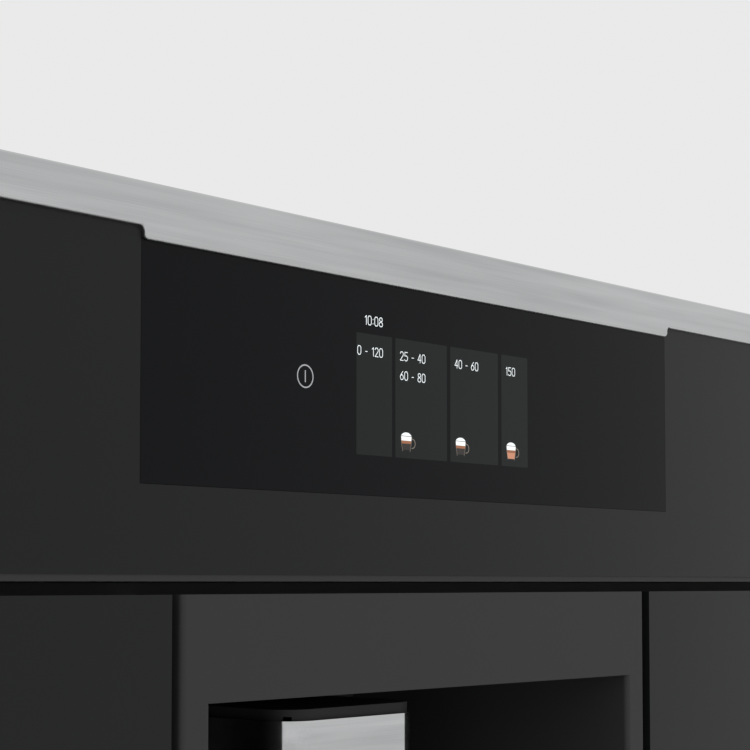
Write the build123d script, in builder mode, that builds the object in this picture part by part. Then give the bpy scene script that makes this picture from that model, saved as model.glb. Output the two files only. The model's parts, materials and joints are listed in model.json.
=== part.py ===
from build123d import *
from math import pi
import os

# Built-in bean-to-cup coffee machine for a 60 cm wide, 45 cm high kitchen niche.
# Millimetres. +X is to the right seen from the front, the front faces -Y, +Z is up.
# The origin is the centre of the outer box on the face that rests on the shelf.

# ---------------------------------------------------------------- driving dimensions

# front
front_width = 594.0
front_height = 455.0
overall_depth = 470.0
fascia_height = 117.7        # top control fascia, strip included
front_gap = 4.0              # open joint between neighbouring front pieces
front_foot = 4.0             # lower edge of the front above the shelf
panel_thickness = 4.0        # glass of the fascia, the door and the tank front
liner_depth = 16.0           # moulded carrier or liner behind each front panel
liner_wall = 2.5

# stainless trim strip
strip_proud = 2.2            # how far the strip stands in front of the glass
strip_height = 17.2          # over the window
strip_side_height = 13.3     # left and right of the window
strip_cover = 4.0            # how far the strip laps over the panel's upper edge
strip_roll = 1.4             # radius of its rolled lower edge
step_round = 1.7             # corners where the strip steps down over the window
strip_bevel = 0.6            # bevel of its upper edge
strip_depth = 12.0           # from its face back over the top of the panel

# window and screen
window_width = 283.8
window_sill = 28.7           # lower edge of the window above the fascia's lower edge
window_joint = 0.12          # joint between the window and the panel round it
screen_width = 95.04         # lit area of a 4.3 inch screen
screen_height = 53.86
screen_sill = 42.2           # lower edge of the lit area above the fascia's lower edge
screen_border = 5.0
carrier_lip = 2.0            # lip of the carrier under the panel
lip_setback = 0.4

# lower front
niche_front_width = 250.0    # middle part of the lower front
niche_stile = 12.0
niche_lintel = 33.0
niche_rear = -86.0           # back wall of the cup niche
tray_front_height = 46.0

# chassis
chassis_width = 540.0
chassis_top = 438.0
sheet = 1.5
frame_gap = 3.0              # between the front liners and the steel front frame

# cabinet mount and telescopic rails
base_plate = 2.0
base_width = 520.0
base_front = -200.0
rail_front = -196.0
rail_length = 421.0
rail_bottom = 4.0
rail_height = 28.0
rail_sheet = 1.5
rail_play = 0.5
rail_pitch = 9.0             # how far one member's lips reach past the next one's web
shelf_hole_radius = 2.5
shelf_hole_x = 400.0
shelf_hole_y = 300.0

# chassis details
frame_web = 14.0
frame_play = 1.0             # round the niche liner where it passes through the front frame
vent_rows = 6
vent_bottom = 270.0
vent_pitch = 12.0
vent_height = 4.0
vent_length = 120.0
vent_front = 60.0
vent_rear_left = 80.0
screw_head_radius = 3.5
screw_head_height = 2.2
screw_socket_radius = 1.5

# screen and control board
module_depth = 6.0
screen_sink = 0.8
board_thickness = 1.6
board_width = 200.0
board_gap = 3.0
spacer_radius = 3.0
spacer_inset = 10.0
chip_pitch = 30.0
chip_size = 12.0
chip_height = 2.0

# cup lights
light_x = 70.0
light_y = -150.0
light_radius = 6.0
lens_rim = 1.0
lens_back = 3.0

# mains inlet and switch on the rear cover
inlet_x = -200.0
inlet_z = 90.0
inlet_width = 28.0
inlet_height = 22.0
switch_x = -160.0
switch_width = 14.0
switch_height = 26.0

# bean container, grind knob and ground coffee funnel under the top cover
bean_left = -190.0
bean_right = -10.0
bean_front = -170.0
bean_back = 40.0
bean_depth = 73.0            # beans container below the top cover
knob_x = 15.0
knob_y = -20.0
knob_radius = 17.0
knob_clearance = 0.5
funnel_left = -255.0
funnel_right = -205.0
funnel_back = -90.0

# drip tray, cup grid and float
tray_half = 108.0
tray_bottom = 40.0
tray_top = 60.0
tray_wall = 2.0
tray_step = 4.0              # how much lower the tray's front bay is
tray_back = -92.0
grid_half = 107.0
grid_setback = 19.8          # front edge of the cup grid behind the glass
grid_thickness = 2.0
slot_count = 17
slot_pitch = 10.0
slot_width = 4.0
slot_margin = 12.5           # between the slots and the grid's front and rear edges
float_x = 96.0
float_setback = 32.8
float_radius = 4.0
float_foot = 7.0
float_base = 4.0
float_play = 1.0
float_tip = 1.5              # how far the dry float shows above the grid

# grounds container and its bay
grounds_half = 54.0
grounds_bottom = 66.0
grounds_top = 134.0
grounds_back = 72.0
bay_play = 1.5
bay_floor_play = 0.5
grounds_face = 3.0           # front wall of the grounds container before the niche's back wall
chute_left = -150.0
chute_high = 172.0
chute_front = -60.0
chute_width = 50.0
grip_radius = 14.0
stile_round = 2.0
boss_x = 255.0
boss_z = 16.0
boss_radius = 5.0

# coffee spout
rail_half = 16.0
rail_thickness = 10.0
rail_gap = 11.0              # between the grounds container and the rail above it
rail_hook = 3.0
spout_half = 36.0
spout_front = -190.0
spout_back = -89.0
spout_height = 86.0
spout_gap = 8.3              # between the raised spout and the niche ceiling
spout_round = 12.0
spout_play = 0.4
cover_wall = 1.2
cover_reach = 60.0
cover_margin = 4.0
nozzle_x = 11.0
nozzle_y = -172.0
outlet_radius = 5.0
outlet_bore = 3.0
outlet_drop = 10.0
outlet_stub = 6.0            # inside the spout

# hot water outlet
hot_x = -80.0
hot_z = 225.0
nozzle_radius = 5.0
nozzle_bore = 2.0
nozzle_reach = 34.0
nozzle_tail = 20.0
nozzle_flange = 4.0
nozzle_nut = 5.0
hot_nose = 12.0              # hot water spout in front of the nozzle
hot_root = 2.0               # and short of the niche's back wall
hot_stop = 0.5
hot_body_radius = 11.0
hot_drop = 45.0
hot_pipe_radius = 5.0
hot_pipe_bore = 3.0
hot_pipe_setback = 4.0

# service door
door_inset = 2.0
hinge_inset = 8.0            # door hinge axis from the outer edge and from the front
hinge_setback = 14.0
hinge_low = 60.0
hinge_high = 250.0
knuckle_radius = 5.0
knuckle_height = 24.0
knuckle_play = 0.5
knuckle_root = 12.0
pin_radius = 3.0
pin_play = 0.05              # running clearance of every pin and shaft
ear_thickness = 2.0
ear_play = 0.3
ear_reach = 40.0
ear_foot = 25.0
ear_radius = 5.0

# water tank, its lid and its dock
tank_left = 146.0
tank_right = 252.0
tank_back = 20.0
tank_bottom = 52.0
tank_top = 232.0
tank_wall = 2.5
tank_round = 10.0
tank_inset = 2.0
flap_size_x = 70.0
flap_size_y = 62.0
flap_lap = 3.0
flap_thickness = 2.5
flap_pin_radius = 1.5
flap_play = 0.1
flap_ear = 4.0
flap_ear_half = 3.0
flap_seam = 1.0
flap_root = 2.0
flap_setback = 20.0
dock_z = 66.0
dock_radius = 6.0
dock_bore = 4.0
dock_depth = 24.0
dock_play = 1.0
dock_wall = 4.0
dock_stub = 4.0              # nipple inside the tank
dock_tail = 1.5
runner_width = 10.0

# lids on the top cover
bean_play = 1.0
bean_round = 8.0
bean_rim = 5.0
bean_taper = 12.0
rim_thickness = 2.0
lid_thickness = 4.0
lid_ear_x = 60.0
lid_ear_half = 8.0
lid_reach = 9.0
lid_pin_radius = 2.0
lid_bracket = 4.0
bracket_setback = 1.5
bracket_round = 3.0
lid_play = 0.2
lid_grip_half = 20.0
lid_grip_depth = 8.0
lid_grip_height = 1.2
knob_height = 10.0
knob_shaft = 6.0
knob_round = 1.5
knob_ribs = 24
knob_sink = 4.0
rib_radius = 1.5
rib_offset = 0.6
funnel_neck = 14.0
funnel_mouth = 42.0
funnel_cup = 10.0            # body of the funnel below the top cover
funnel_dish = 4.0
funnel_slope = 25.0
neck_gap = 12.0              # between the brewing unit and the neck above it

# disc grinder
grinder_x = -100.0
grinder_y = -20.0
throat_radius = 20.0
burr_radius = 27.0
burr_shaft = 5.0
burr_gap = 0.4
upper_burr_height = 10.0
lower_burr_height = 10.0
gear_teeth = 48
pinion_teeth = 12
gear_module = 1.25
gear_height = 8.0
gear_play = 0.35
housing_radius = 38.0
housing_floor = 5.0
gear_air = 3.0               # under the gears
pinion_room = 4.0            # over the pinion
chute_lip = 8.0
chute_low = 2.0
chute_height = 14.0
housing_skin = 1.0
motor_radius = 26.0
motor_length = 88.0
motor_round = 3.0
bearing_radius = 8.0
bearing_height = 6.0
pinion_shaft = 3.0

# grinder details
knob_arm_drop = 13.0
arm_half = 9.0
arm_height = 11.0
spout_chute_half = 10.0
burr_cuts = 18
cut_length = 8.0
cut_width = 1.2
cut_depth = 2.0
burr_lap = 2.0               # upper burr inside the edge of the throat
tooth_root = 0.55
tooth_tip = 0.2
shaft_socket = 12.0

# brewing unit
brew_left = -250.0
brew_right = -160.0
brew_front = -185.0
brew_back = -65.0
brew_bottom = 110.0
brew_top = 250.0
brew_wall = 4.0
brew_floor = 8.0
brew_head = 12.0
neck_hole = 30.0
leg_width = 10.0
brew_axis_x = -195.0
brew_axis_y = -103.0
chamber_bottom = 140.0
chamber_height = 50.0
chamber_radius = 27.0
chamber_floor = 6.0
nut_half = 6.5               # spindle nut on the side of the chamber
nut_low = 10.0
nut_height = 14.0
cake_radius = 22.1
piston_play = 0.06
piston_bottom = 195.0
piston_height = 15.0
piston_stem = 10.0
spindle_x = -236.0
spindle_y = -90.0
spindle_radius = 4.0
spindle_tail = 8.0
spindle_head = 5.0           # end of the spindle in the head of the frame
collar_height = 4.0
collar_rim = 2.0
lever_x = -205.0
lever_y = -190.5
lever_z = 242.0
lever_half = 20.0
lever_pin = 2.5
lever_length = 60.0
lever_play = 0.5
lever_ear = 4.5
lever_root = 6.0
lever_grip = 8.0
gearbox_half = 20.0
gearbox_width = 50.0
gearbox_bottom = 62.0
gearbox_gap = 2.0            # under the brewing unit
drive_high = 18.0
drive_radius = 15.0
drive_length = 42.0

# pump, heaters and hoses
pump_x = 200.0
pump_y = 130.0
pump_z = 90.0
pump_low = 66.0
pump_radius = 20.0
pump_length = 62.0
coil_half = 27.0             # magnet coil round the pump
coil_low = 14.0
coil_height = 34.0
bracket_half = 30.0
bracket_sheet = 2.0
fitting_radius = 4.0
fitting_length = 10.0
coffee_heater_x = 70.0
steam_heater_x = -30.0
heater_y = 150.0
heater_z = 60.0
heater_height = 100.0
heater_radius = 36.0
heater_fins = 5
fin_size = 2.0
heater_foot = 6.0
hose_radius = 3.0
hose_level = 200.0
hose_bend = 12.0
suction_run = 40.0
lane_x = -110.0              # where the hot water hose passes the grinder's motor
lane_run = 60.0
hose_step = 30.0

# power board, inlet pins and rocker
board_x = -258.0
board_front = 60.0
board_back = 200.0
board_low = 60.0
board_high = 220.0
part_pitch = 32.0
capacitor_high = 40.0
capacitor_radius = 9.0
capacitor_length = 24.0
relay_half = 10.0
relay_depth = 16.0
relay_low = 80.0
relay_height = 28.0
inlet_depth = 20.0
inlet_wall = 2.0
blade_half = 1.0
blade_setback = 4.0
pin_pitch = 7.0
switch_play = 0.4
rocker_half = 9.0
rocker_low = 7.5
rocker_middle = 7.8
rocker_reach = 10.0
rocker_pin = 1.5
rocker_back = 3.0
rocker_setback = 11.0

# ---------------------------------------------------------------- derived places

front_y = -overall_depth / 2
rear_y = overall_depth / 2
glass_y = front_y + strip_proud
hinge_x = -front_width / 2 + hinge_inset
hinge_y = front_y + hinge_setback
half_front = front_width / 2
fascia_bottom = front_height - fascia_height
lower_top = fascia_bottom - front_gap
liner_y = glass_y + panel_thickness
liner_back_y = liner_y + liner_depth
frame_y = liner_back_y + frame_gap
inside_y = frame_y + sheet
half_chassis = chassis_width / 2
half_niche = niche_front_width / 2
niche_inner = half_niche - niche_stile
pan_bottom = rail_bottom + rail_height + 2.0
pan_top = pan_bottom + sheet
side_panel_inner = half_niche + front_gap
tray_front_top = front_foot + tray_front_height
grid_front = glass_y + grid_setback
slot_length = tray_back - grid_front - 2 * slot_margin
float_y = glass_y + float_setback
niche_ceiling = lower_top - niche_lintel
spout_top = niche_ceiling - spout_gap
spout_bottom = spout_top - spout_height
rail_low = grounds_top + rail_gap
half_window = window_width / 2
strip_bottom = front_height - strip_height
strip_side_bottom = front_height - strip_side_height
panel_top = strip_side_bottom + strip_cover
strip_back_y = front_y + strip_depth
screen_bottom = fascia_bottom + screen_sill
screen_top = screen_bottom + screen_height
module_half = screen_width / 2 + screen_border
board_y = liner_y + module_depth + board_gap
board_half = board_width / 2
spacer_x = board_half - spacer_inset
hot_pipe_y = niche_rear - nozzle_reach - hot_pipe_setback
tank_front_y = inside_y + tank_inset
flap_left = (tank_left + tank_right - flap_size_x) / 2
flap_right = flap_left + flap_size_x
flap_front = tank_front_y + flap_setback
flap_back = flap_front + flap_size_y
flap_low = tank_top + flap_play
flap_hinge_y = flap_back + flap_ear
flap_hinge_z = flap_low + flap_thickness
dock_x = (tank_left + tank_right) / 2
bean_bottom = chassis_top - bean_depth
knob_arm_z = bean_bottom - knob_arm_drop
bean_middle_x = (bean_left + bean_right) / 2
bean_middle_y = (bean_front + bean_back) / 2
bean_mouth_x = bean_right - bean_left - 2 * (bean_play + liner_wall)
bean_mouth_y = bean_back - bean_front - 2 * (bean_play + liner_wall)
lid_bottom = chassis_top + sheet + rim_thickness + lid_play
lid_pin_length = 2 * (lid_ear_half + lid_bracket)
lid_hinge_y = bean_back + lid_reach
lid_hinge_z = lid_bottom + lid_thickness
knob_bottom = chassis_top - knob_sink
funnel_x = (funnel_left + funnel_right) / 2
neck_low = brew_top + neck_gap
chute_root = grinder_x - housing_radius + housing_skin
funnel_y = (bean_front + funnel_back) / 2
gear_pitch_radius = gear_module * gear_teeth / 2
pinion_pitch_radius = gear_module * pinion_teeth / 2
pinion_tip = pinion_pitch_radius + gear_module
housing_bore = gear_pitch_radius + gear_module + housing_skin
motor_x = grinder_x + gear_pitch_radius + pinion_pitch_radius + gear_play
upper_burr_bottom = bean_bottom - upper_burr_height - burr_lap
lower_burr_bottom = upper_burr_bottom - burr_gap - lower_burr_height
burr_gear_bottom = lower_burr_bottom - gear_height
rocker_y = rear_y - rocker_setback
heater_outlet = heater_z + heater_height + fitting_length
nozzle_end = niche_rear + nozzle_tail
dock_end = tank_back + dock_depth + dock_tail
dock_tip = tank_back - tank_wall - dock_stub
housing_bottom = burr_gear_bottom - gear_air - housing_floor
motor_top = housing_bottom
AXIS_TURNS = {"X": (0, 90, 0), "Y": (-90, 0, 0), "Z": (0, 0, 0)}


def block(low, high, mode=Mode.ADD):
    """Add or cut the box between two opposite corners."""
    size = [b - a for a, b in zip(low, high)]
    middle = tuple((a + b) / 2 for a, b in zip(low, high))
    with Locations(middle):
        Box(*size, mode=mode)


def rod(start, radius, length, axis="Z", mode=Mode.ADD):
    """Add or cut a cylinder that runs from start towards plus the named axis."""
    with Locations(Location(start, AXIS_TURNS[axis])):
        Cylinder(radius, length, align=(Align.CENTER, Align.CENTER, Align.MIN), mode=mode)


def ring(start, outer, inner, length, axis="Z"):
    """Add a round tube that runs from start towards plus the named axis."""
    rod(start, outer, length, axis)
    rod(start, inner, length, axis, Mode.SUBTRACT)


def open_box(low, high, wall):
    """Add a box that is hollow inside and open at the top."""
    block(low, high)
    block((low[0] + wall, low[1] + wall, low[2] + wall), (high[0] - wall, high[1] - wall, high[2]),
          Mode.SUBTRACT)


# ---------------------------------------------------------------- cabinet mount

half_base = base_width / 2
rail_top = rail_bottom + rail_height
rail_back = rail_front + rail_length

# Sheet tray screwed to the cabinet's shelf, with an upright flange for each outer rail.
with BuildPart() as mounting_base:
    block((-half_base, base_front, 0), (half_base, rear_y, base_plate))
    for side in (-1, 1):
        flange_edges = sorted((side * half_base, side * (half_base - base_plate)))
        block((flange_edges[0], base_front, 0), (flange_edges[1], rear_y, rail_top))
    with Locations(Plane.XY.offset(base_plate)):
        with GridLocations(shelf_hole_x, shelf_hole_y, 2, 2):
            Hole(shelf_hole_radius, base_plate)


def rail_channel(web_x, reach, bottom, top, side):
    """Add one rail member: an upright web and two lips that reach towards the machine or away."""
    web = sorted((side * web_x, side * (web_x - rail_sheet)))
    lip = sorted((side * (web_x - rail_sheet / 2), side * (web_x - rail_sheet / 2 + reach)))
    block((web[0], rail_front, bottom), (web[1], rail_back, top))
    block((lip[0], rail_front, bottom), (lip[1], rail_back, bottom + rail_sheet))
    block((lip[0], rail_front, top - rail_sheet), (lip[1], rail_back, top))


outer_web = half_base - base_plate
middle_web = outer_web - rail_sheet - rail_pitch / 2
inner_web = middle_web - rail_pitch + rail_play
middle_bottom = rail_bottom + rail_sheet + rail_play
middle_top = rail_top - rail_sheet - rail_play
inner_bottom = middle_bottom + rail_sheet + rail_play
inner_top = middle_top - rail_sheet - rail_play
inner_reach = middle_web - rail_sheet - rail_play - (inner_web - rail_sheet / 2)

with BuildPart() as outer_rails:
    for side in (-1, 1):
        rail_channel(outer_web, -rail_pitch, rail_bottom, rail_top, side)

with BuildPart() as middle_rails:
    for side in (-1, 1):
        rail_channel(middle_web, -rail_pitch, middle_bottom, middle_top, side)

with BuildPart() as inner_rails:
    for side in (-1, 1):
        rail_channel(inner_web, inner_reach, inner_bottom, inner_top, side)

# ---------------------------------------------------------------- chassis

pan_flange = inner_web - rail_sheet
chassis_rear = rear_y - sheet

with BuildPart() as base_pan:
    block((-half_chassis, inside_y, pan_bottom), (half_chassis, chassis_rear, pan_top))
    for side in (-1, 1):
        flange = sorted((side * pan_flange, side * (pan_flange - sheet)))
        block((flange[0], rail_front, inner_bottom), (flange[1], rail_back, pan_bottom))

with BuildPart() as side_panels:
    for side in (-1, 1):
        wall = sorted((side * half_chassis, side * (half_chassis - sheet)))
        block((wall[0], inside_y, pan_top), (wall[1], chassis_rear, chassis_top))
        for level in range(vent_rows):
            low = vent_bottom + level * vent_pitch
            block((wall[0], vent_front, low), (wall[1], vent_front + vent_length, low + vent_height),
                  Mode.SUBTRACT)

with BuildPart() as rear_cover:
    block((-half_chassis, chassis_rear, pan_bottom), (half_chassis, rear_y, chassis_top))
    for level in range(vent_rows):
        low = vent_bottom + level * vent_pitch
        block((vent_rear_left, chassis_rear, low), (vent_rear_left + vent_length, rear_y, low + vent_height),
              Mode.SUBTRACT)
    block((inlet_x - inlet_width / 2, chassis_rear, inlet_z - inlet_height / 2),
          (inlet_x + inlet_width / 2, rear_y, inlet_z + inlet_height / 2), Mode.SUBTRACT)
    block((switch_x - switch_width / 2, chassis_rear, inlet_z - switch_height / 2),
          (switch_x + switch_width / 2, rear_y, inlet_z + switch_height / 2), Mode.SUBTRACT)

with BuildPart() as top_cover:
    block((-half_chassis, inside_y, chassis_top), (half_chassis, rear_y, chassis_top + sheet))
    block((bean_left, bean_front, chassis_top), (bean_right, bean_back, chassis_top + sheet), Mode.SUBTRACT)
    rod((knob_x, knob_y, chassis_top), knob_radius + knob_clearance, sheet, "Z", Mode.SUBTRACT)
    block((funnel_left, bean_front, chassis_top), (funnel_right, funnel_back, chassis_top + sheet),
          Mode.SUBTRACT)

with BuildPart() as front_frame:
    block((-half_chassis, frame_y, pan_bottom), (half_chassis, inside_y, chassis_top))
    for side in (-1, 1):
        bay = sorted((side * (side_panel_inner + frame_web), side * (half_chassis - frame_web)))
        block((bay[0], frame_y, pan_top + frame_web), (bay[1], inside_y, niche_ceiling), Mode.SUBTRACT)
    block((-niche_inner - liner_wall - frame_play, frame_y, pan_bottom),
          (niche_inner + liner_wall + frame_play, inside_y, niche_ceiling + liner_wall + frame_play),
          Mode.SUBTRACT)
    block((-half_window - frame_web, frame_y, fascia_bottom + frame_web),
          (half_window + frame_web, inside_y, chassis_top - frame_web), Mode.SUBTRACT)

with BuildPart() as cover_screws:
    for side in (-1, 1):
        for depth in (bean_front - frame_web, rear_y - frame_web):
            screw_x = side * (half_chassis - frame_web / 2)
            rod((screw_x, depth, chassis_top + sheet), screw_head_radius, screw_head_height)
            rod((screw_x, depth, chassis_top + sheet), screw_socket_radius, screw_head_height, "Z",
                Mode.SUBTRACT)

# ---------------------------------------------------------------- control fascia

with BuildPart() as fascia_panel:
    block((-half_front, glass_y, fascia_bottom + carrier_lip), (half_front, liner_y, panel_top))
    block((-half_window - window_joint, glass_y, fascia_bottom + window_sill - window_joint),
          (half_window + window_joint, liner_y, panel_top), Mode.SUBTRACT)

with BuildPart() as display_window:
    block((-half_window, glass_y, fascia_bottom + window_sill), (half_window, liner_y, panel_top))

# The strip is one bent sheet: a stepped face over the panel, rolled at its lower edge, and a top lap.
with BuildPart() as trim_strip:
    with BuildSketch(Plane.XZ.offset(-glass_y)) as strip_face:
        with BuildLine():
            Polyline((-half_front, front_height), (half_front, front_height), (half_front, strip_side_bottom),
                     (half_window, strip_side_bottom), (half_window, strip_bottom),
                     (-half_window, strip_bottom), (-half_window, strip_side_bottom),
                     (-half_front, strip_side_bottom), (-half_front, front_height))
        make_face()
        fillet([corner for corner in strip_face.vertices() if abs(corner.X) < half_front - 1], step_round)
    extrude(amount=strip_proud)
    front_loop = trim_strip.faces().sort_by(Axis.Y)[0].edges()
    fillet([edge for edge in front_loop if edge.center().Z < strip_side_bottom + strip_roll
            and abs(edge.center().X) < half_front - 0.1], strip_roll)
    block((-half_front, glass_y, panel_top), (half_front, strip_back_y, front_height))
    chamfer(trim_strip.edges().filter_by(Axis.X).group_by(Axis.Z)[-1].sort_by(Axis.Y)[0], strip_bevel)

with BuildPart() as fascia_carrier:
    block((-half_front, liner_y, fascia_bottom), (half_front, liner_back_y, panel_top))
    block((-half_front, glass_y + lip_setback, fascia_bottom),
          (half_front, liner_y, fascia_bottom + carrier_lip))
    block((-half_front + liner_wall, liner_y + liner_wall, fascia_bottom + liner_wall),
          (half_front - liner_wall, liner_back_y, panel_top - liner_wall), Mode.SUBTRACT)
    block((-module_half - liner_wall, liner_y, screen_bottom - screen_border - liner_wall),
          (module_half + liner_wall, liner_y + liner_wall, screen_top + screen_border + liner_wall),
          Mode.SUBTRACT)
    for boss in (-boss_x, -boss_x / 2 - half_window / 2, boss_x / 2 + half_window / 2, boss_x):
        rod((boss, liner_y, fascia_bottom + boss_z), boss_radius, frame_y - liner_y, "Y")

# Screen module: a metal frame with the lit face sunk behind its rim.
with BuildPart() as display_module:
    block((-module_half, liner_y, screen_bottom - screen_border),
          (module_half, liner_y + module_depth, screen_top + screen_border))
    block((-screen_width / 2, liner_y, screen_bottom), (screen_width / 2, liner_y + screen_sink, screen_top),
          Mode.SUBTRACT)

with BuildPart() as control_board:
    block((-board_half, board_y, screen_bottom - screen_border),
          (board_half, board_y + board_thickness, screen_top + screen_border))
    for spacer in (-1, 1):
        rod((spacer * spacer_x, liner_y + liner_wall, screen_bottom), spacer_radius,
            board_y - liner_y - liner_wall, "Y")
    for chip in range(-2, 3):
        block((chip * chip_pitch - chip_size / 2, board_y + board_thickness, screen_bottom),
              (chip * chip_pitch + chip_size / 2, board_y + board_thickness + chip_height,
               screen_bottom + chip_size))

# Two lenses in the niche ceiling light the cups.
with BuildPart() as cup_lights:
    for side in (-1, 1):
        rod((side * light_x, light_y, niche_ceiling), light_radius, liner_wall + lens_back)
        rod((side * light_x, light_y, niche_ceiling - lens_rim), light_radius + 2 * lens_rim, lens_rim)

# ---------------------------------------------------------------- cup niche and drip tray

# Moulded surround of the cup niche: two stiles, a lintel, side walls, ceiling and back wall.
with BuildPart() as niche_liner:
    block((-half_niche, glass_y, tray_front_top + front_gap), (half_niche, liner_back_y, lower_top))
    block((-niche_inner - liner_wall, liner_back_y, tray_front_top + front_gap),
          (niche_inner + liner_wall, niche_rear + liner_wall, niche_ceiling + liner_wall))
    block((-niche_inner, glass_y, tray_front_top + front_gap), (niche_inner, niche_rear, niche_ceiling),
          Mode.SUBTRACT)
    block((-grounds_half - bay_play, niche_rear, tray_front_top + front_gap),
          (grounds_half + bay_play, niche_rear + liner_wall, grounds_top + bay_play), Mode.SUBTRACT)
    for side in (-1, 1):
        rod((side * light_x, light_y, niche_ceiling), light_radius + pin_play, liner_wall, "Z", Mode.SUBTRACT)
    rod((hot_x, niche_rear, hot_z), nozzle_radius + pin_play, liner_wall, "Y", Mode.SUBTRACT)
    for side in (-1, 1):
        for level in (tray_front_top + boss_z, niche_ceiling):
            edge = sorted((side * (niche_inner + liner_wall), side * half_niche))
            block((edge[0], liner_back_y, level - boss_radius), (edge[1], frame_y, level + boss_radius))
    fillet(niche_liner.edges().filter_by(Axis.Z).filter_by_position(Axis.Y, glass_y - 0.1, glass_y + 0.1),
           stile_round)

with BuildPart() as drip_tray:
    open_box((-tray_half, liner_back_y, tray_bottom), (tray_half, tray_back, tray_top), tray_wall)
    block((-tray_half, liner_y, tray_bottom),
          (tray_half, liner_back_y, tray_top - grid_thickness - tray_step))
    block((-tray_half + tray_wall, liner_y + tray_wall, tray_bottom + tray_wall),
          (tray_half - tray_wall, liner_back_y + tray_wall, tray_top), Mode.SUBTRACT)

with BuildPart() as drip_tray_front:
    block((-half_niche, glass_y, front_foot), (half_niche, liner_y, tray_front_top))
    fillet(drip_tray_front.edges().filter_by(Axis.X).filter_by_position(Axis.Y, glass_y - 0.1, glass_y + 0.1),
           strip_roll)

with BuildPart() as cup_grid:
    block((-grid_half, grid_front, tray_top), (grid_half, tray_back, tray_top + grid_thickness))
    with Locations((0, (grid_front + tray_back) / 2, tray_top + grid_thickness / 2)):
        with GridLocations(slot_pitch, 0, slot_count, 1):
            Box(slot_width, slot_length, grid_thickness, mode=Mode.SUBTRACT)
    rod((float_x, float_y, tray_top), float_radius + float_play, grid_thickness, "Z", Mode.SUBTRACT)

with BuildPart() as float_indicator:
    rod((float_x, float_y, tray_bottom + tray_wall), float_radius, tray_top + grid_thickness - tray_bottom
        - tray_wall + float_tip)
    rod((float_x, float_y, tray_bottom + tray_wall), float_foot, float_base)
    fillet(float_indicator.edges().sort_by(Axis.Z)[-1], float_tip)

# Grounds container in its bay behind the niche, with the chute that feeds it.
with BuildPart() as grounds_bay:
    block((-grounds_half - bay_play - liner_wall, niche_rear + liner_wall, pan_top),
          (grounds_half + bay_play + liner_wall, grounds_back + bay_play + liner_wall,
           grounds_top + bay_play + liner_wall))
    block((-grounds_half - bay_play, niche_rear + liner_wall, grounds_bottom - bay_floor_play),
          (grounds_half + bay_play, grounds_back + bay_play, grounds_top + bay_play + liner_wall),
          Mode.SUBTRACT)
    block((-grounds_half - bay_play, niche_rear + liner_wall + bay_play, pan_top),
          (grounds_half + bay_play, grounds_back + bay_play, grounds_bottom - bay_floor_play - liner_wall),
          Mode.SUBTRACT)
    with BuildSketch(Plane.XZ.offset(-chute_front)):
        with BuildLine():
            Polyline((chute_left, chute_high), (-grounds_half - bay_play, grounds_top + bay_play),
                     (-grounds_half - bay_play, grounds_top + bay_play + liner_wall),
                     (chute_left, chute_high + liner_wall), (chute_left, chute_high))
        make_face()
    extrude(amount=-chute_width)

with BuildPart() as grounds_container:
    open_box((-grounds_half, niche_rear, grounds_bottom), (grounds_half, grounds_back, grounds_top),
             tray_wall)
    block((-grounds_half, niche_rear - grounds_face, grounds_bottom), (grounds_half, niche_rear, grounds_top))
    rod((0, niche_rear - grounds_face, grounds_top), grip_radius, grounds_face + tray_wall, "Y",
        Mode.SUBTRACT)

# ---------------------------------------------------------------- coffee spout and hot water outlet

with BuildPart() as spout_rail:
    block((-rail_half, niche_rear - rail_thickness, rail_low), (rail_half, niche_rear, niche_ceiling))
    for side in (-1, 1):
        edge = sorted((side * rail_half, side * (rail_half + rail_hook)))
        block((edge[0], niche_rear - rail_thickness, rail_low),
              (edge[1], niche_rear - rail_thickness + rail_hook, niche_ceiling))

with BuildPart() as spout_body:
    block((-spout_half, spout_front, spout_bottom), (spout_half, spout_back, spout_top))
    fillet(spout_body.edges().filter_by(Axis.Z).sort_by(Axis.Y)[:2], spout_round)
    block((-spout_half + liner_wall, spout_front + liner_wall, spout_bottom + liner_wall),
          (spout_half - liner_wall, spout_back - liner_wall, spout_top - liner_wall), Mode.SUBTRACT)
    block((-rail_half - rail_hook - spout_play, niche_rear - rail_thickness - spout_play, spout_bottom),
          (rail_half + rail_hook + spout_play, spout_back, spout_top), Mode.SUBTRACT)
    for side in (-1, 1):
        rod((side * nozzle_x, nozzle_y, spout_bottom), outlet_radius + pin_play, liner_wall, "Z",
            Mode.SUBTRACT)

# Stainless cap that wraps the front of the spout.
with BuildPart() as spout_cover:
    block((-spout_half - cover_wall, spout_front - cover_wall, spout_bottom + cover_margin),
          (spout_half + cover_wall, spout_front + cover_reach, spout_top - cover_margin))
    fillet(spout_cover.edges().filter_by(Axis.Z).sort_by(Axis.Y)[:2], spout_round + cover_wall)
    with BuildSketch(Plane.XY.offset(spout_bottom)) as cover_bore:
        with Locations((0, (spout_front + spout_back) / 2)):
            Rectangle(2 * spout_half, spout_back - spout_front)
        fillet(cover_bore.vertices().sort_by(Axis.Y)[:2], spout_round)
    extrude(amount=spout_top - spout_bottom, mode=Mode.SUBTRACT)

with BuildPart() as spout_nozzles:
    for side in (-1, 1):
        ring((side * nozzle_x, nozzle_y, spout_bottom - outlet_drop), outlet_radius, outlet_bore,
             outlet_drop + liner_wall + outlet_stub)

with BuildPart() as hot_water_nozzle:
    ring((hot_x, niche_rear - nozzle_reach, hot_z), nozzle_radius, nozzle_bore,
         nozzle_reach + nozzle_tail, "Y")
    ring((hot_x, niche_rear + liner_wall, hot_z), nozzle_radius + nozzle_flange, nozzle_bore, nozzle_nut, "Y")

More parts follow.
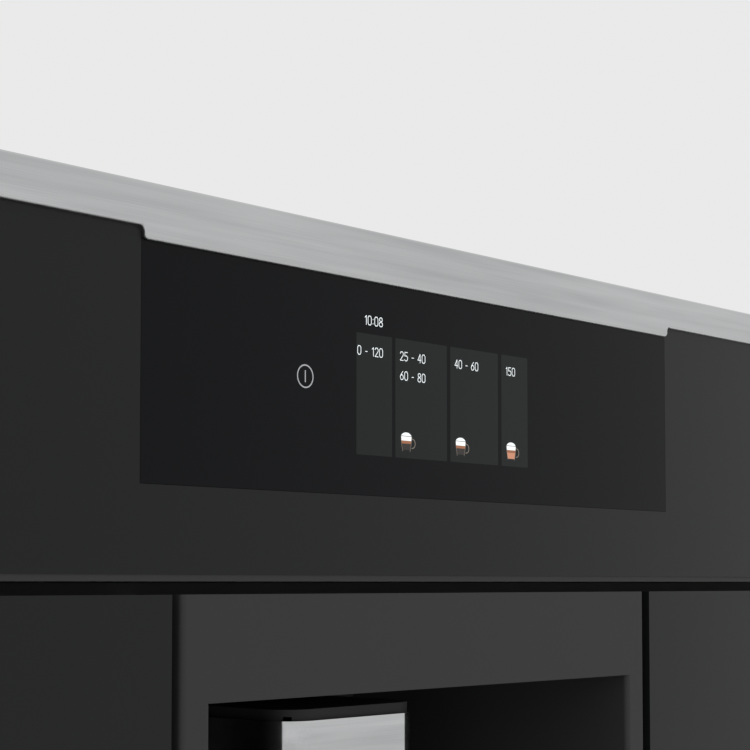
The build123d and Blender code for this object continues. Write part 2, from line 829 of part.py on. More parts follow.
with BuildPart() as hot_water_spout:
    rod((hot_x, niche_rear - nozzle_reach - hot_nose, hot_z), hot_body_radius,
        nozzle_reach + hot_nose - hot_root, "Y")
    rod((hot_x, hot_pipe_y, hot_z - hot_drop), hot_pipe_radius, hot_drop)
    rod((hot_x, niche_rear - nozzle_reach - hot_stop, hot_z), nozzle_radius + pin_play, nozzle_reach, "Y",
        Mode.SUBTRACT)
    rod((hot_x, hot_pipe_y, hot_z - hot_drop), hot_pipe_bore, hot_drop, "Z", Mode.SUBTRACT)

# ---------------------------------------------------------------- service door and water tank

# Glass door left of the niche with its moulded inner side, hinged on the outer edge.
with BuildPart() as service_door:
    block((-half_front, glass_y, front_foot), (-side_panel_inner, liner_y, lower_top))

with BuildPart() as door_liner:
    block((hinge_x - knuckle_radius - knuckle_play, liner_y, front_foot + door_inset),
          (-side_panel_inner - door_inset, liner_back_y, lower_top - door_inset))
    block((hinge_x - knuckle_radius - knuckle_play + liner_wall, liner_y + liner_wall,
           front_foot + door_inset + liner_wall),
          (-side_panel_inner - door_inset - liner_wall, liner_back_y,
           lower_top - door_inset - liner_wall), Mode.SUBTRACT)
    for level in (hinge_low, hinge_high):
        block((hinge_x - knuckle_radius - knuckle_play, liner_y + liner_wall, level - 2 * ear_thickness),
              (hinge_x, liner_back_y, level + knuckle_height + 2 * ear_thickness), Mode.SUBTRACT)
        block((hinge_x - knuckle_radius, liner_y, level),
              (hinge_x + knuckle_radius + knuckle_root, liner_back_y, level + knuckle_height))
        rod((hinge_x, hinge_y, level), pin_radius + pin_play, knuckle_height, "Z", Mode.SUBTRACT)

with BuildPart() as door_hinges:
    for level in (hinge_low, hinge_high):
        rod((hinge_x, hinge_y, level - ear_thickness), pin_radius, knuckle_height + 2 * ear_thickness)
        for ear in (level - ear_thickness - ear_play, level + knuckle_height + ear_play):
            rod((hinge_x, hinge_y, ear), ear_radius, ear_thickness)
            block((hinge_x, hinge_y - ear_radius, ear),
                  (hinge_x + ear_reach, hinge_y + ear_radius, ear + ear_thickness))
            block((hinge_x + ear_reach - ear_foot, hinge_y, ear),
                  (hinge_x + ear_reach, frame_y, ear + ear_thickness))

# Water tank that slides out to the front, with its own front panel.
with BuildPart() as water_tank:
    block((tank_left, tank_front_y, tank_bottom), (tank_right, tank_back, tank_top))
    fillet(water_tank.edges().filter_by(Axis.Z), tank_round)
    block((tank_left + tank_wall, tank_front_y + tank_wall, tank_bottom + tank_wall),
          (tank_right - tank_wall, tank_back - tank_wall, tank_top - tank_wall), Mode.SUBTRACT)
    block((flap_left, flap_front, tank_top - tank_wall), (flap_right, flap_back, tank_top), Mode.SUBTRACT)
    rod((dock_x, tank_back - tank_wall, dock_z), dock_radius + pin_play, tank_wall, "Y", Mode.SUBTRACT)
    for ear in ((flap_left - flap_ear, flap_left - ear_play), (flap_right + ear_play, flap_right + flap_ear)):
        block((ear[0], flap_hinge_y - flap_ear_half, tank_top),
              (ear[1], flap_hinge_y + flap_ear_half, flap_hinge_z + flap_ear_half))
        rod((ear[0], flap_hinge_y, flap_hinge_z), flap_pin_radius + pin_play, ear[1] - ear[0], "X",
            Mode.SUBTRACT)

with BuildPart() as tank_lid:
    block((flap_left - flap_lap, flap_front - flap_lap, flap_low),
          (flap_right + flap_lap, flap_back - flap_seam, flap_low + flap_thickness))
    rod((flap_left - flap_ear, flap_hinge_y, flap_hinge_z), flap_pin_radius, flap_size_x + 2 * flap_ear, "X")
    block((flap_left + flap_root, flap_back - flap_root, flap_low),
          (flap_right - flap_root, flap_hinge_y, flap_low + flap_thickness))
    fillet(tank_lid.edges().filter_by(Axis.Z).sort_by(Axis.Y)[:2], flap_lap)

with BuildPart() as tank_front:
    block((side_panel_inner, glass_y, front_foot), (half_front, liner_y, lower_top))
    block((side_panel_inner + tank_inset, liner_y, front_foot + tank_inset),
          (half_front - tank_inset, liner_back_y, lower_top - tank_inset))
    block((side_panel_inner + tank_inset + liner_wall, liner_y + liner_wall,
           front_foot + tank_inset + liner_wall),
          (half_front - tank_inset - liner_wall, liner_back_y, lower_top - tank_inset - liner_wall),
          Mode.SUBTRACT)
    block((tank_left + tank_round, liner_y, tank_bottom + tank_inset),
          (tank_right - tank_round, tank_front_y, tank_top - tank_inset))
    block((tank_left + tank_round + liner_wall, liner_y + liner_wall, tank_bottom + tank_inset + liner_wall),
          (tank_right - tank_round - liner_wall, tank_front_y, tank_top - tank_inset - liner_wall),
          Mode.SUBTRACT)

with BuildPart() as tank_dock:
    block((tank_left + runner_width, tank_back + dock_play, pan_top),
          (tank_right - runner_width, tank_back + dock_depth, tank_top))
    block((tank_left + 2 * runner_width, tank_back + dock_play + dock_wall, pan_top),
          (tank_right - 2 * runner_width, tank_back + dock_depth, tank_top - runner_width), Mode.SUBTRACT)
    ring((dock_x, dock_tip, dock_z), dock_radius, dock_bore, dock_end - dock_tip, "Y")
    for runner in (tank_left + runner_width, tank_right - 2 * runner_width):
        block((runner, tank_front_y, pan_top),
              (runner + runner_width, tank_back + dock_depth, tank_bottom - ear_play))

# ---------------------------------------------------------------- beans, grinder and ground coffee


def hinge_brackets(centre_x, back):
    """Add the two upright ears that carry a lid's pin."""
    for side in (-1, 1):
        ear = sorted((centre_x + side * (lid_ear_half + ear_play),
                      centre_x + side * (lid_ear_half + lid_bracket)))
        block((ear[0], back + bracket_setback, chassis_top + sheet),
              (ear[1], back + lid_reach + bracket_round, lid_hinge_z + bracket_round))
        rod((ear[0], back + lid_reach, lid_hinge_z), lid_pin_radius + pin_play, ear[1] - ear[0], "X",
            Mode.SUBTRACT)


with BuildPart() as bean_container:
    block((bean_left + bean_play, bean_front + bean_play, bean_bottom),
          (bean_right - bean_play, bean_back - bean_play, chassis_top + sheet))
    fillet(bean_container.edges().filter_by(Axis.Z), bean_round)
    with BuildSketch(Plane.XY.offset(chassis_top + sheet)) as bean_mouth:
        with Locations((bean_middle_x, bean_middle_y)):
            RectangleRounded(bean_mouth_x, bean_mouth_y, bean_round)
    extrude(amount=-(chassis_top + sheet - bean_bottom - liner_wall), taper=bean_taper, mode=Mode.SUBTRACT)
    rod((grinder_x, grinder_y, bean_bottom), throat_radius, liner_wall, "Z", Mode.SUBTRACT)
    block((bean_left - bean_rim, bean_front - bean_rim, chassis_top + sheet),
          (bean_right + bean_rim, bean_back + bean_rim, chassis_top + sheet + rim_thickness))
    with BuildSketch(Plane.XY.offset(chassis_top + sheet)):
        with Locations((bean_middle_x, bean_middle_y)):
            RectangleRounded(bean_mouth_x, bean_mouth_y, bean_round)
    extrude(amount=rim_thickness, mode=Mode.SUBTRACT)

    for side in (-1, 1):
        hinge_brackets(bean_middle_x + side * lid_ear_x, bean_back)

with BuildPart() as bean_lid:
    block((bean_left, bean_front, lid_bottom), (bean_right, bean_back, lid_bottom + lid_thickness))
    fillet(bean_lid.edges().filter_by(Axis.Z).sort_by(Axis.Y)[:2], bean_round)
    for side in (-1, 1):
        ear_x = bean_middle_x + side * lid_ear_x
        block((ear_x - lid_ear_half, bean_back, lid_bottom),
              (ear_x + lid_ear_half, lid_hinge_y, lid_bottom + lid_thickness))
        rod((ear_x - lid_pin_length / 2, lid_hinge_y, lid_hinge_z), lid_pin_radius, lid_pin_length, "X")
    block((bean_middle_x - lid_grip_half, bean_front, lid_bottom + lid_grip_height),
          (bean_middle_x + lid_grip_half, bean_front + lid_grip_depth, lid_bottom + lid_thickness),
          Mode.SUBTRACT)

with BuildPart() as grind_knob:
    rod((knob_x, knob_y, knob_bottom), knob_radius, knob_height)
    fillet(grind_knob.edges().sort_by(Axis.Z)[-1], knob_round)
    rod((knob_x, knob_y, bean_bottom), knob_shaft, knob_bottom - bean_bottom)
    with Locations((knob_x, knob_y, knob_bottom + knob_height / 2)):
        with PolarLocations(knob_radius + rib_offset, knob_ribs):
            Cylinder(rib_radius, knob_height, mode=Mode.SUBTRACT)

with BuildPart() as coffee_funnel:
    block((funnel_left + bean_play, bean_front + bean_play, chassis_top - funnel_cup),
          (funnel_right - bean_play, funnel_back - bean_play, chassis_top + sheet))
    block((funnel_left - bean_rim, bean_front - bean_rim, chassis_top + sheet),
          (funnel_right + bean_rim, funnel_back + bean_rim, chassis_top + sheet + rim_thickness))
    rod((funnel_x, funnel_y, neck_low), funnel_neck + liner_wall, chassis_top - funnel_cup - neck_low)
    with Locations((funnel_x, funnel_y, (chassis_top + sheet + rim_thickness + neck_low) / 2)):
        Cylinder(funnel_neck, chassis_top + sheet + rim_thickness - neck_low, mode=Mode.SUBTRACT)
    with BuildSketch(Plane.XY.offset(chassis_top + sheet + rim_thickness)):
        with Locations((funnel_x, funnel_y)):
            Rectangle(funnel_mouth, funnel_mouth)
    extrude(amount=-(sheet + rim_thickness + funnel_dish), taper=funnel_slope, mode=Mode.SUBTRACT)
    hinge_brackets(funnel_x, funnel_back)

with BuildPart() as funnel_lid:
    block((funnel_left, bean_front, lid_bottom), (funnel_right, funnel_back, lid_bottom + lid_thickness))
    block((funnel_x - lid_ear_half, funnel_back, lid_bottom),
          (funnel_x + lid_ear_half, funnel_back + lid_reach, lid_bottom + lid_thickness))
    rod((funnel_x - lid_pin_length / 2, funnel_back + lid_reach, lid_hinge_z), lid_pin_radius,
        lid_pin_length, "X")

# Disc grinder on an upright axis under the bean container.
with BuildPart() as grinder_housing:
    ring((grinder_x, grinder_y, burr_gear_bottom - gear_air), housing_radius, housing_bore,
         bean_bottom - burr_gear_bottom + gear_air)
    block((grinder_x, grinder_y - motor_radius, housing_bottom),
          (motor_x, grinder_y + motor_radius, burr_gear_bottom - gear_air))
    rod((grinder_x, grinder_y, housing_bottom), housing_radius, housing_floor)
    rod((motor_x, grinder_y, housing_bottom), motor_radius, housing_floor)
    rod((grinder_x, grinder_y, housing_bottom), burr_shaft + pin_play, housing_floor,
        "Z", Mode.SUBTRACT)
    rod((motor_x, grinder_y, housing_bottom), pinion_shaft + pin_play, housing_floor,
        "Z", Mode.SUBTRACT)
    rod((motor_x, grinder_y, burr_gear_bottom - gear_air), pinion_tip + housing_skin,
        gear_height + pinion_room, "Z", Mode.SUBTRACT)
    block((grinder_x + housing_radius - housing_skin, grinder_y - arm_half, knob_arm_z),
          (knob_x, grinder_y + arm_half, knob_arm_z + arm_height))
    rod((knob_x, grinder_y, knob_arm_z), arm_half, arm_height)
    rod((knob_x, grinder_y, knob_arm_z), knob_shaft + pin_play, arm_height, "Z", Mode.SUBTRACT)
    with BuildSketch(Plane.XZ.offset(-(grinder_y - spout_chute_half))):
        with BuildLine():
            Polyline((chute_root, burr_gear_bottom + chute_low),
                     (chute_root, burr_gear_bottom + chute_low + chute_height),
                     (brew_axis_x + chute_lip, neck_low + chute_height),
                     (brew_axis_x + chute_lip, neck_low), (chute_root, burr_gear_bottom + chute_low))
        make_face()
    extrude(amount=-2 * spout_chute_half)

with BuildPart() as upper_burr:
    ring((grinder_x, grinder_y, upper_burr_bottom), housing_bore - pin_play, throat_radius - burr_lap,
         upper_burr_height)
    with Locations((grinder_x, grinder_y, upper_burr_bottom)):
        with PolarLocations(burr_radius - cut_length / 2, burr_cuts):
            Box(cut_length, cut_width, cut_depth, mode=Mode.SUBTRACT)

with BuildPart() as lower_burr:
    ring((grinder_x, grinder_y, lower_burr_bottom), burr_radius, burr_shaft, lower_burr_height)
    with Locations((grinder_x, grinder_y, lower_burr_bottom + lower_burr_height)):
        with PolarLocations(burr_radius - cut_length / 2, burr_cuts):
            Box(cut_length, cut_width, cut_depth, mode=Mode.SUBTRACT)


def toothed_wheel(centre_x, teeth, bottom, first_angle):
    """Add a spur wheel whose tooth or gap faces +X as first_angle says."""
    pitch_radius = gear_module * teeth / 2
    root = pitch_radius - 1.25 * gear_module
    tip = pitch_radius + 0.9 * gear_module
    half_pitch = pi * gear_module / 2
    rod((centre_x, grinder_y, bottom), root, gear_height)
    with BuildSketch(Plane.XY.offset(bottom)) as tooth:
        with BuildLine():
            Polyline((root - 0.6, -tooth_root * half_pitch), (tip, -tooth_tip * half_pitch),
                     (tip, tooth_tip * half_pitch), (root - 0.6, tooth_root * half_pitch),
                     (root - 0.6, -tooth_root * half_pitch))
        make_face(mode=Mode.ADD)
    for number in range(teeth):
        angle = first_angle + number * 360.0 / teeth
        add(extrude(tooth.sketch.moved(Location((centre_x, grinder_y, 0), (0, 0, angle))),
                    amount=gear_height, mode=Mode.PRIVATE))


with BuildPart() as burr_gear:
    toothed_wheel(grinder_x, gear_teeth, burr_gear_bottom, 0.0)
    rod((grinder_x, grinder_y, housing_bottom), burr_shaft,
        housing_floor + gear_air + gear_height + lower_burr_height)

with BuildPart() as motor_pinion:
    toothed_wheel(motor_x, pinion_teeth, burr_gear_bottom, 180.0 + 180.0 / pinion_teeth)
    rod((motor_x, grinder_y, motor_top - shaft_socket), pinion_shaft, burr_gear_bottom - motor_top
        + shaft_socket)

with BuildPart() as grinder_motor:
    rod((motor_x, grinder_y, motor_top - motor_length), motor_radius, motor_length)
    fillet(grinder_motor.edges().sort_by(Axis.Z)[0], motor_round)
    rod((motor_x, grinder_y, motor_top - shaft_socket), pinion_shaft + pin_play, shaft_socket, "Z",
        Mode.SUBTRACT)
    rod((motor_x, grinder_y, motor_top - motor_length - bearing_height), bearing_radius,
        bearing_height + motor_round)

# ---------------------------------------------------------------- brewing unit

with BuildPart() as brew_frame:
    block((brew_left, brew_front, brew_bottom), (brew_right, brew_back, brew_top))
    block((brew_left + brew_wall, brew_front, brew_bottom + brew_floor),
          (brew_right - brew_wall, brew_back - brew_wall, brew_top - brew_head), Mode.SUBTRACT)
    with Locations((funnel_x, funnel_y, brew_top)):
        Box(neck_hole, neck_hole, 2 * brew_head, mode=Mode.SUBTRACT)
    rod((spindle_x, spindle_y, brew_bottom), spindle_radius + pin_play, brew_floor, "Z", Mode.SUBTRACT)
    rod((spindle_x, spindle_y, brew_top - brew_head), spindle_radius + pin_play, brew_head / 2, "Z",
        Mode.SUBTRACT)
    for side in (-1, 1):
        ear = sorted((lever_x + side * (lever_half + lever_play), lever_x + side * (lever_half + lever_ear)))
        block((ear[0], lever_y - lever_ear, lever_z - lever_root), (ear[1], brew_front, lever_z + lever_root))
        rod((ear[0], lever_y, lever_z), lever_pin + pin_play, ear[1] - ear[0], "X", Mode.SUBTRACT)
    for leg in (brew_left, brew_right - leg_width):
        block((leg, brew_front + leg_width, pan_top),
              (leg + leg_width, brew_front + 2 * leg_width, brew_bottom))
        block((leg, brew_back - brew_wall, pan_top), (leg + leg_width, brew_back, brew_bottom))

with BuildPart() as brew_chamber:
    rod((brew_axis_x, brew_axis_y, chamber_bottom), chamber_radius, chamber_height)
    block((spindle_x - nut_half, spindle_y - nut_half, chamber_bottom + nut_low),
          (brew_axis_x - chamber_radius + chamber_floor, spindle_y + nut_half,
           chamber_bottom + nut_low + nut_height))
    rod((brew_axis_x, brew_axis_y, chamber_bottom + chamber_floor), cake_radius,
        chamber_height - chamber_floor, "Z", Mode.SUBTRACT)
    rod((spindle_x, spindle_y, chamber_bottom), spindle_radius + pin_play, chamber_height, "Z", Mode.SUBTRACT)

with BuildPart() as brew_piston:
    rod((brew_axis_x, brew_axis_y, piston_bottom), cake_radius - piston_play, piston_height)
    rod((brew_axis_x, brew_axis_y, piston_bottom + piston_height), piston_stem,
        brew_top - brew_head - piston_bottom - piston_height)

with BuildPart() as brew_spindle:
    rod((spindle_x, spindle_y, brew_bottom - spindle_tail), spindle_radius,
        spindle_tail + brew_top - brew_head + spindle_head - brew_bottom)
    rod((spindle_x, spindle_y, brew_bottom + brew_floor + collar_height), spindle_radius + collar_rim,
        collar_height)

with BuildPart() as release_lever:
    block((lever_x - lever_half, lever_y - lever_pin, lever_z - lever_length),
          (lever_x + lever_half, lever_y + lever_pin, lever_z))
    rod((lever_x - lever_half - lever_ear, lever_y, lever_z), lever_pin, 2 * (lever_half + lever_ear), "X")
    block((lever_x - lever_half, lever_y - lever_grip, lever_z - lever_length),
          (lever_x + lever_half, lever_y - lever_pin, lever_z - lever_length + 2 * lever_pin))

with BuildPart() as brew_gearmotor:
    block((brew_left, spindle_y - gearbox_half, gearbox_bottom),
          (brew_left + gearbox_width, spindle_y + gearbox_half, brew_bottom - gearbox_gap))
    rod((spindle_x, spindle_y, brew_bottom - spindle_tail), spindle_radius + pin_play, spindle_tail, "Z",
        Mode.SUBTRACT)
    rod((brew_left + gearbox_width, spindle_y, gearbox_bottom + drive_high), drive_radius, drive_length, "X")
    block((brew_left + leg_width, spindle_y - leg_width, pan_top),
          (brew_left + 3 * leg_width, spindle_y + leg_width, gearbox_bottom))

# ---------------------------------------------------------------- water and electric parts

with BuildPart() as water_pump:
    rod((pump_x, pump_y, pump_z), pump_radius, pump_length)
    block((pump_x - coil_half, pump_y - pump_radius, pump_z + coil_low),
          (pump_x + coil_half, pump_y + pump_radius, pump_z + coil_low + coil_height))
    rod((pump_x, pump_y, pump_z + pump_length), fitting_radius, fitting_length)
    rod((pump_x, pump_y, pump_z - fitting_length), fitting_radius, fitting_length)
    block((pump_x - bracket_half, pump_y + pump_radius - 2 * bracket_sheet, pan_top),
          (pump_x + bracket_half, pump_y + pump_radius - bracket_sheet, pump_z + coil_low + coil_height))

with BuildPart() as thermoblocks:
    for centre in (coffee_heater_x, steam_heater_x):
        rod((centre, heater_y, heater_z), heater_radius, heater_height)
        for fin in range(heater_fins):
            rod((centre, heater_y, heater_z + (fin + 0.5) * heater_height / heater_fins),
                heater_radius + fin_size, fin_size)
        rod((centre, heater_y, heater_z + heater_height), fitting_radius, fitting_length)
        rod((centre, heater_y, pan_top), heater_foot, heater_z - pan_top)


def hose(points, bend):
    """Add one hose along straight runs joined by arcs."""
    with BuildLine() as route:
        FilletPolyline(*points, radius=bend)
    start = route.line @ 0
    heading = route.line % 0
    with BuildSketch(Plane(origin=start, z_dir=heading)) as section:
        Circle(hose_radius)
    sweep(section.sketch, path=route.line)


with BuildPart() as hoses:
    hose(((dock_x, dock_end, dock_z), (dock_x, pump_y - suction_run, dock_z), (pump_x, pump_y, pump_low),
          (pump_x, pump_y, pump_z - fitting_length)), hose_bend / 2)
    hose(((pump_x, pump_y, pump_z + pump_length + fitting_length), (pump_x, pump_y, hose_level),
          (coffee_heater_x, heater_y, hose_level), (coffee_heater_x, heater_y, heater_outlet)), hose_bend)
    hose(((steam_heater_x, heater_y, heater_outlet), (steam_heater_x, heater_y, hot_z),
          (lane_x, heater_y - lane_run, hot_z), (lane_x, nozzle_end + 2 * hose_step, hot_z),
          (hot_x, nozzle_end + hose_step / 3, hot_z), (hot_x, nozzle_end, hot_z)), hose_bend)

with BuildPart() as power_board:
    block((board_x, board_front, board_low), (board_x + board_thickness, board_back, board_high))
    for peg in (board_front + spacer_inset, board_back - spacer_inset):
        rod((-half_chassis + sheet, peg, board_low + spacer_inset), spacer_radius,
            board_x + half_chassis - sheet, "X")
    for row in range(3):
        part_y = board_front + part_pitch * (row + 1)
        rod((board_x + board_thickness, part_y, board_low + capacitor_high), capacitor_radius,
            capacitor_length, "X")
        block((board_x + board_thickness, part_y - relay_half, board_low + relay_low),
              (board_x + board_thickness + relay_depth, part_y + relay_half,
               board_low + relay_low + relay_height))

with BuildPart() as mains_inlet:
    block((inlet_x - inlet_width / 2, rear_y - inlet_depth, inlet_z - inlet_height / 2),
          (inlet_x + inlet_width / 2, rear_y, inlet_z + inlet_height / 2))
    block((inlet_x - inlet_width / 2 + inlet_wall, rear_y - inlet_depth + inlet_wall,
           inlet_z - inlet_height / 2 + inlet_wall),
          (inlet_x + inlet_width / 2 - inlet_wall, rear_y, inlet_z + inlet_height / 2 - inlet_wall),
          Mode.SUBTRACT)
    block((switch_x - switch_width / 2 - 2 * inlet_wall, rocker_y - 4 * inlet_wall,
           inlet_z - switch_height / 2 - inlet_wall),
          (switch_x + switch_width / 2 + 2 * inlet_wall, chassis_rear,
           inlet_z + switch_height / 2 + inlet_wall))
    block((switch_x - switch_width / 2, rocker_y - 3 * inlet_wall, inlet_z - switch_height / 2),
          (switch_x + switch_width / 2, chassis_rear, inlet_z + switch_height / 2), Mode.SUBTRACT)
    rod((switch_x - switch_width / 2 - 2 * inlet_wall, rocker_y, inlet_z), rocker_pin + pin_play,
        switch_width + 4 * inlet_wall, "X", Mode.SUBTRACT)
    for pin in (-1, 0, 1):
        block((inlet_x + pin * pin_pitch - blade_half, rear_y - inlet_depth + blade_half,
               inlet_z - 2 * blade_half),
              (inlet_x + pin * pin_pitch + blade_half, rear_y - blade_setback, inlet_z + 2 * blade_half))

with BuildPart() as main_switch:
    with BuildSketch(Plane.YZ.offset(switch_x - switch_width / 2 + switch_play)):
        with BuildLine():
            Polyline((rocker_y - rocker_back, inlet_z - rocker_back),
                     (rocker_y + rocker_low, inlet_z - rocker_half), (rocker_y + rocker_middle, inlet_z),
                     (rocker_y + rocker_reach, inlet_z + rocker_half),
                     (rocker_y - rocker_back, inlet_z + rocker_back),
                     (rocker_y - rocker_back, inlet_z - rocker_back))
        make_face()
    extrude(amount=switch_width - 2 * switch_play)
    rod((switch_x - switch_width / 2 - inlet_wall, rocker_y, inlet_z), rocker_pin,
        switch_width + 2 * inlet_wall, "X")

PIECES = {name: value for name, value in globals().items() if isinstance(value, BuildPart)}

os.makedirs("parts", exist_ok=True)
for name, piece in PIECES.items():
    piece.part.label = name
    export_step(piece.part, f"parts/{name}.step")
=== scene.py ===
"""Looks of the built-in coffee machine: finishes, screen contents, trim details and studio."""

import json
import logging
import math
from dataclasses import dataclass, field
from enum import Enum
from typing import Sequence

import bmesh
import bpy
import numpy as np
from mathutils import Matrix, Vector


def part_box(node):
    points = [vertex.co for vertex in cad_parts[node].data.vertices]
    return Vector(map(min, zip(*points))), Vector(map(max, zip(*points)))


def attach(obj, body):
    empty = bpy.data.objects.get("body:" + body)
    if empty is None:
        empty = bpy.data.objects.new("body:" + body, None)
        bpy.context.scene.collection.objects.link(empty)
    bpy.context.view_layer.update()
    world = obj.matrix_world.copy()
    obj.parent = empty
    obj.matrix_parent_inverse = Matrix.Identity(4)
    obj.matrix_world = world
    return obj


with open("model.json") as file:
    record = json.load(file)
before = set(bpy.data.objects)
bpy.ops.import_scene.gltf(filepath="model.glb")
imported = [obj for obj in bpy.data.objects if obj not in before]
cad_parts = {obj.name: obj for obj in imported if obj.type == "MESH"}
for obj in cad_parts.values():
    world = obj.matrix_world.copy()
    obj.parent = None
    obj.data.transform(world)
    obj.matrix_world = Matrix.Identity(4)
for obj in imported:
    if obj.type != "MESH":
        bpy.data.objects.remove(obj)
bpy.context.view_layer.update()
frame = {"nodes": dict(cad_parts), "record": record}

MM = 0.001
SHARP_ANGLE = math.radians(35.0)  # edges bent more than this stay sharp on smooth shapes
CORNER_LIMIT = 0.499  # largest corner radius in shares of a side, so that two corners never meet

Colour = tuple[float, float, float]
Point = Sequence[float]
Socket = bpy.types.NodeSocket
Tree = bpy.types.NodeTree

logging.basicConfig(level=logging.INFO, format="%(message)s")
log = logging.getLogger("coffee_machine")


# ------------------------------------------------------------------ node groups


class Detail(Enum):
    """What the fine surface of a finish looks like, with the name of its shader group."""

    MOULDED = "moulded_grain"
    BRUSHED = "brushed_lines"
    SPANGLE = "zinc_spangle"
    SATIN = "etched_satin"
    POLISHED = "polish_smudge"
    CAST = "cast_skin"
    TURNED = "turned_rings"
    BOARD = "circuit_tracks"


@dataclass(frozen=True)
class Noise:
    """Settings of one noise, and how the place is squeezed before it."""

    scale: float
    octaves: float
    roughness: float = 0.55
    squeeze: tuple[float, float, float] | None = None


def math_node(tree: Tree, operation: str, first: Socket | float, second: Socket | float) -> Socket:
    """Add a math node.

    Args:
        tree: node tree that takes it.
        operation: Blender's name of the operation.
        first: socket or number of the first operand.
        second: socket or number of the second operand.

    Returns:
        The result's socket.
    """
    node = tree.nodes.new("ShaderNodeMath")
    node.operation = operation
    for index, operand in enumerate((first, second)):
        if isinstance(operand, (int, float)):
            node.inputs[index].default_value = operand
        else:
            tree.links.new(operand, node.inputs[index])
    return node.outputs[0]


class SurfacePattern:
    """Shader group of one fine surface: a place goes in, a relief height and a tone mask come out."""

    def __init__(self, name: str) -> None:
        """Start the group with its sockets.

        Args:
            name: the group's name.
        """
        self.tree = bpy.data.node_groups.new(name, "ShaderNodeTree")
        for label, way, kind in (("Vector", "INPUT", "Vector"), ("Height", "OUTPUT", "Float"),
                                 ("Mask", "OUTPUT", "Float")):
            self.tree.interface.new_socket(name=label, in_out=way, socket_type=f"NodeSocket{kind}")
        self.place = self.tree.nodes.new("NodeGroupInput").outputs["Vector"]
        self.sink = self.tree.nodes.new("NodeGroupOutput")

    def noise(self, settings: Noise) -> Socket:
        """Add a noise over the place.

        Args:
            settings: the noise's numbers.

        Returns:
            Its value socket.
        """
        place = self.place
        if settings.squeeze:
            mapping = self.tree.nodes.new("ShaderNodeMapping")
            mapping.inputs["Scale"].default_value = settings.squeeze
            self.tree.links.new(place, mapping.inputs["Vector"])
            place = mapping.outputs["Vector"]
        node = self.tree.nodes.new("ShaderNodeTexNoise")
        node.inputs["Scale"].default_value = settings.scale
        node.inputs["Detail"].default_value = settings.octaves
        node.inputs["Roughness"].default_value = settings.roughness
        self.tree.links.new(place, node.inputs["Vector"])
        return node.outputs["Fac"]

    def cells(self, scale: float, randomness: float, place: Socket) -> bpy.types.Node:
        """Add Voronoi cells.

        Args:
            scale: cells per metre.
            randomness: how far the cells leave a square grid.
            place: vector socket that feeds them.

        Returns:
            The cells' node.
        """
        node = self.tree.nodes.new("ShaderNodeTexVoronoi")
        node.inputs["Scale"].default_value = scale
        node.inputs["Randomness"].default_value = randomness
        self.tree.links.new(place, node.inputs["Vector"])
        return node

    def moulded(self) -> tuple[Socket, Socket]:
        """Spark-eroded grain: a fine and a broad noise added together, under a soft cloud."""
        grain = math_node(self.tree, "ADD", self.noise(Noise(2600.0, 2.0)), self.noise(Noise(900.0, 2.0)))
        return grain, self.noise(Noise(14.0, 3.0))

    def brushed(self) -> tuple[Socket, Socket]:
        """Brushing along X: noise drawn out along the width, as lines, bands and smears.

        Returns:
            Sockets of the height and of the mask.
        """
        lines = self.noise(Noise(1.0, 3.0, squeeze=(18.0, 5200.0, 5200.0)))
        bands = self.noise(Noise(1.0, 2.0, squeeze=(6.0, 900.0, 900.0)))
        smears = self.noise(Noise(1.0, 2.0, squeeze=(9.0, 160.0, 160.0)))
        height = math_node(self.tree, "ADD", lines, math_node(self.tree, "MULTIPLY", bands, 0.5))
        return height, math_node(self.tree, "ADD", math_node(self.tree, "MULTIPLY", lines, 0.45), smears)

    def spangle(self) -> tuple[Socket, Socket]:
        """Zinc crystals: each cell of a warped Voronoi pattern has its own grey and its own relief.

        Returns:
            Sockets of the height and of the mask.
        """
        warp = math_node(self.tree, "MULTIPLY", self.noise(Noise(60.0, 2.0)), 0.006)
        shifted = self.tree.nodes.new("ShaderNodeVectorMath")
        shifted.operation = "ADD"
        self.tree.links.new(self.place, shifted.inputs[0])
        self.tree.links.new(warp, shifted.inputs[1])
        split = self.tree.nodes.new("ShaderNodeSeparateColor")
        self.tree.links.new(self.cells(210.0, 1.0, shifted.outputs[0]).outputs["Color"], split.inputs[0])
        return split.outputs[1], split.outputs[0]

    def board(self) -> tuple[Socket, Socket]:
        """Printed circuit: straight tracks along the edges of square cells.

        Returns:
            Sockets of the height and of the mask.
        """
        cells = self.cells(260.0, 0.35, self.place)
        cells.distance = "CHEBYCHEV"
        track = math_node(self.tree, "GREATER_THAN", cells.outputs["Distance"], 0.52)
        return track, track

    def lead_out(self, height: Socket, mask: Socket) -> Tree:
        """Lead the two values out of the group.

        Args:
            height: socket of the relief height.
            mask: socket of the tone mask.

        Returns:
            The finished group.
        """
        self.tree.links.new(height, self.sink.inputs["Height"])
        self.tree.links.new(mask, self.sink.inputs["Mask"])
        return self.tree


DRAWN_PATTERNS = {Detail.MOULDED: SurfacePattern.moulded, Detail.BRUSHED: SurfacePattern.brushed,
                  Detail.SPANGLE: SurfacePattern.spangle, Detail.BOARD: SurfacePattern.board}
# Height and mask noise of the patterns that need no more than that.
NOISE_PATTERNS = {Detail.SATIN: (Noise(4200.0, 2.0), Noise(1.0, 4.0, squeeze=(4.0, 9.0, 9.0))),
                  Detail.POLISHED: (Noise(1500.0, 1.0), Noise(22.0, 4.0, 0.6)),
                  Detail.CAST: (Noise(700.0, 4.0, 0.7), Noise(40.0, 3.0)),
                  Detail.TURNED: (Noise(1.0, 2.0, squeeze=(30.0, 30.0, 4200.0)), Noise(60.0, 2.0))}


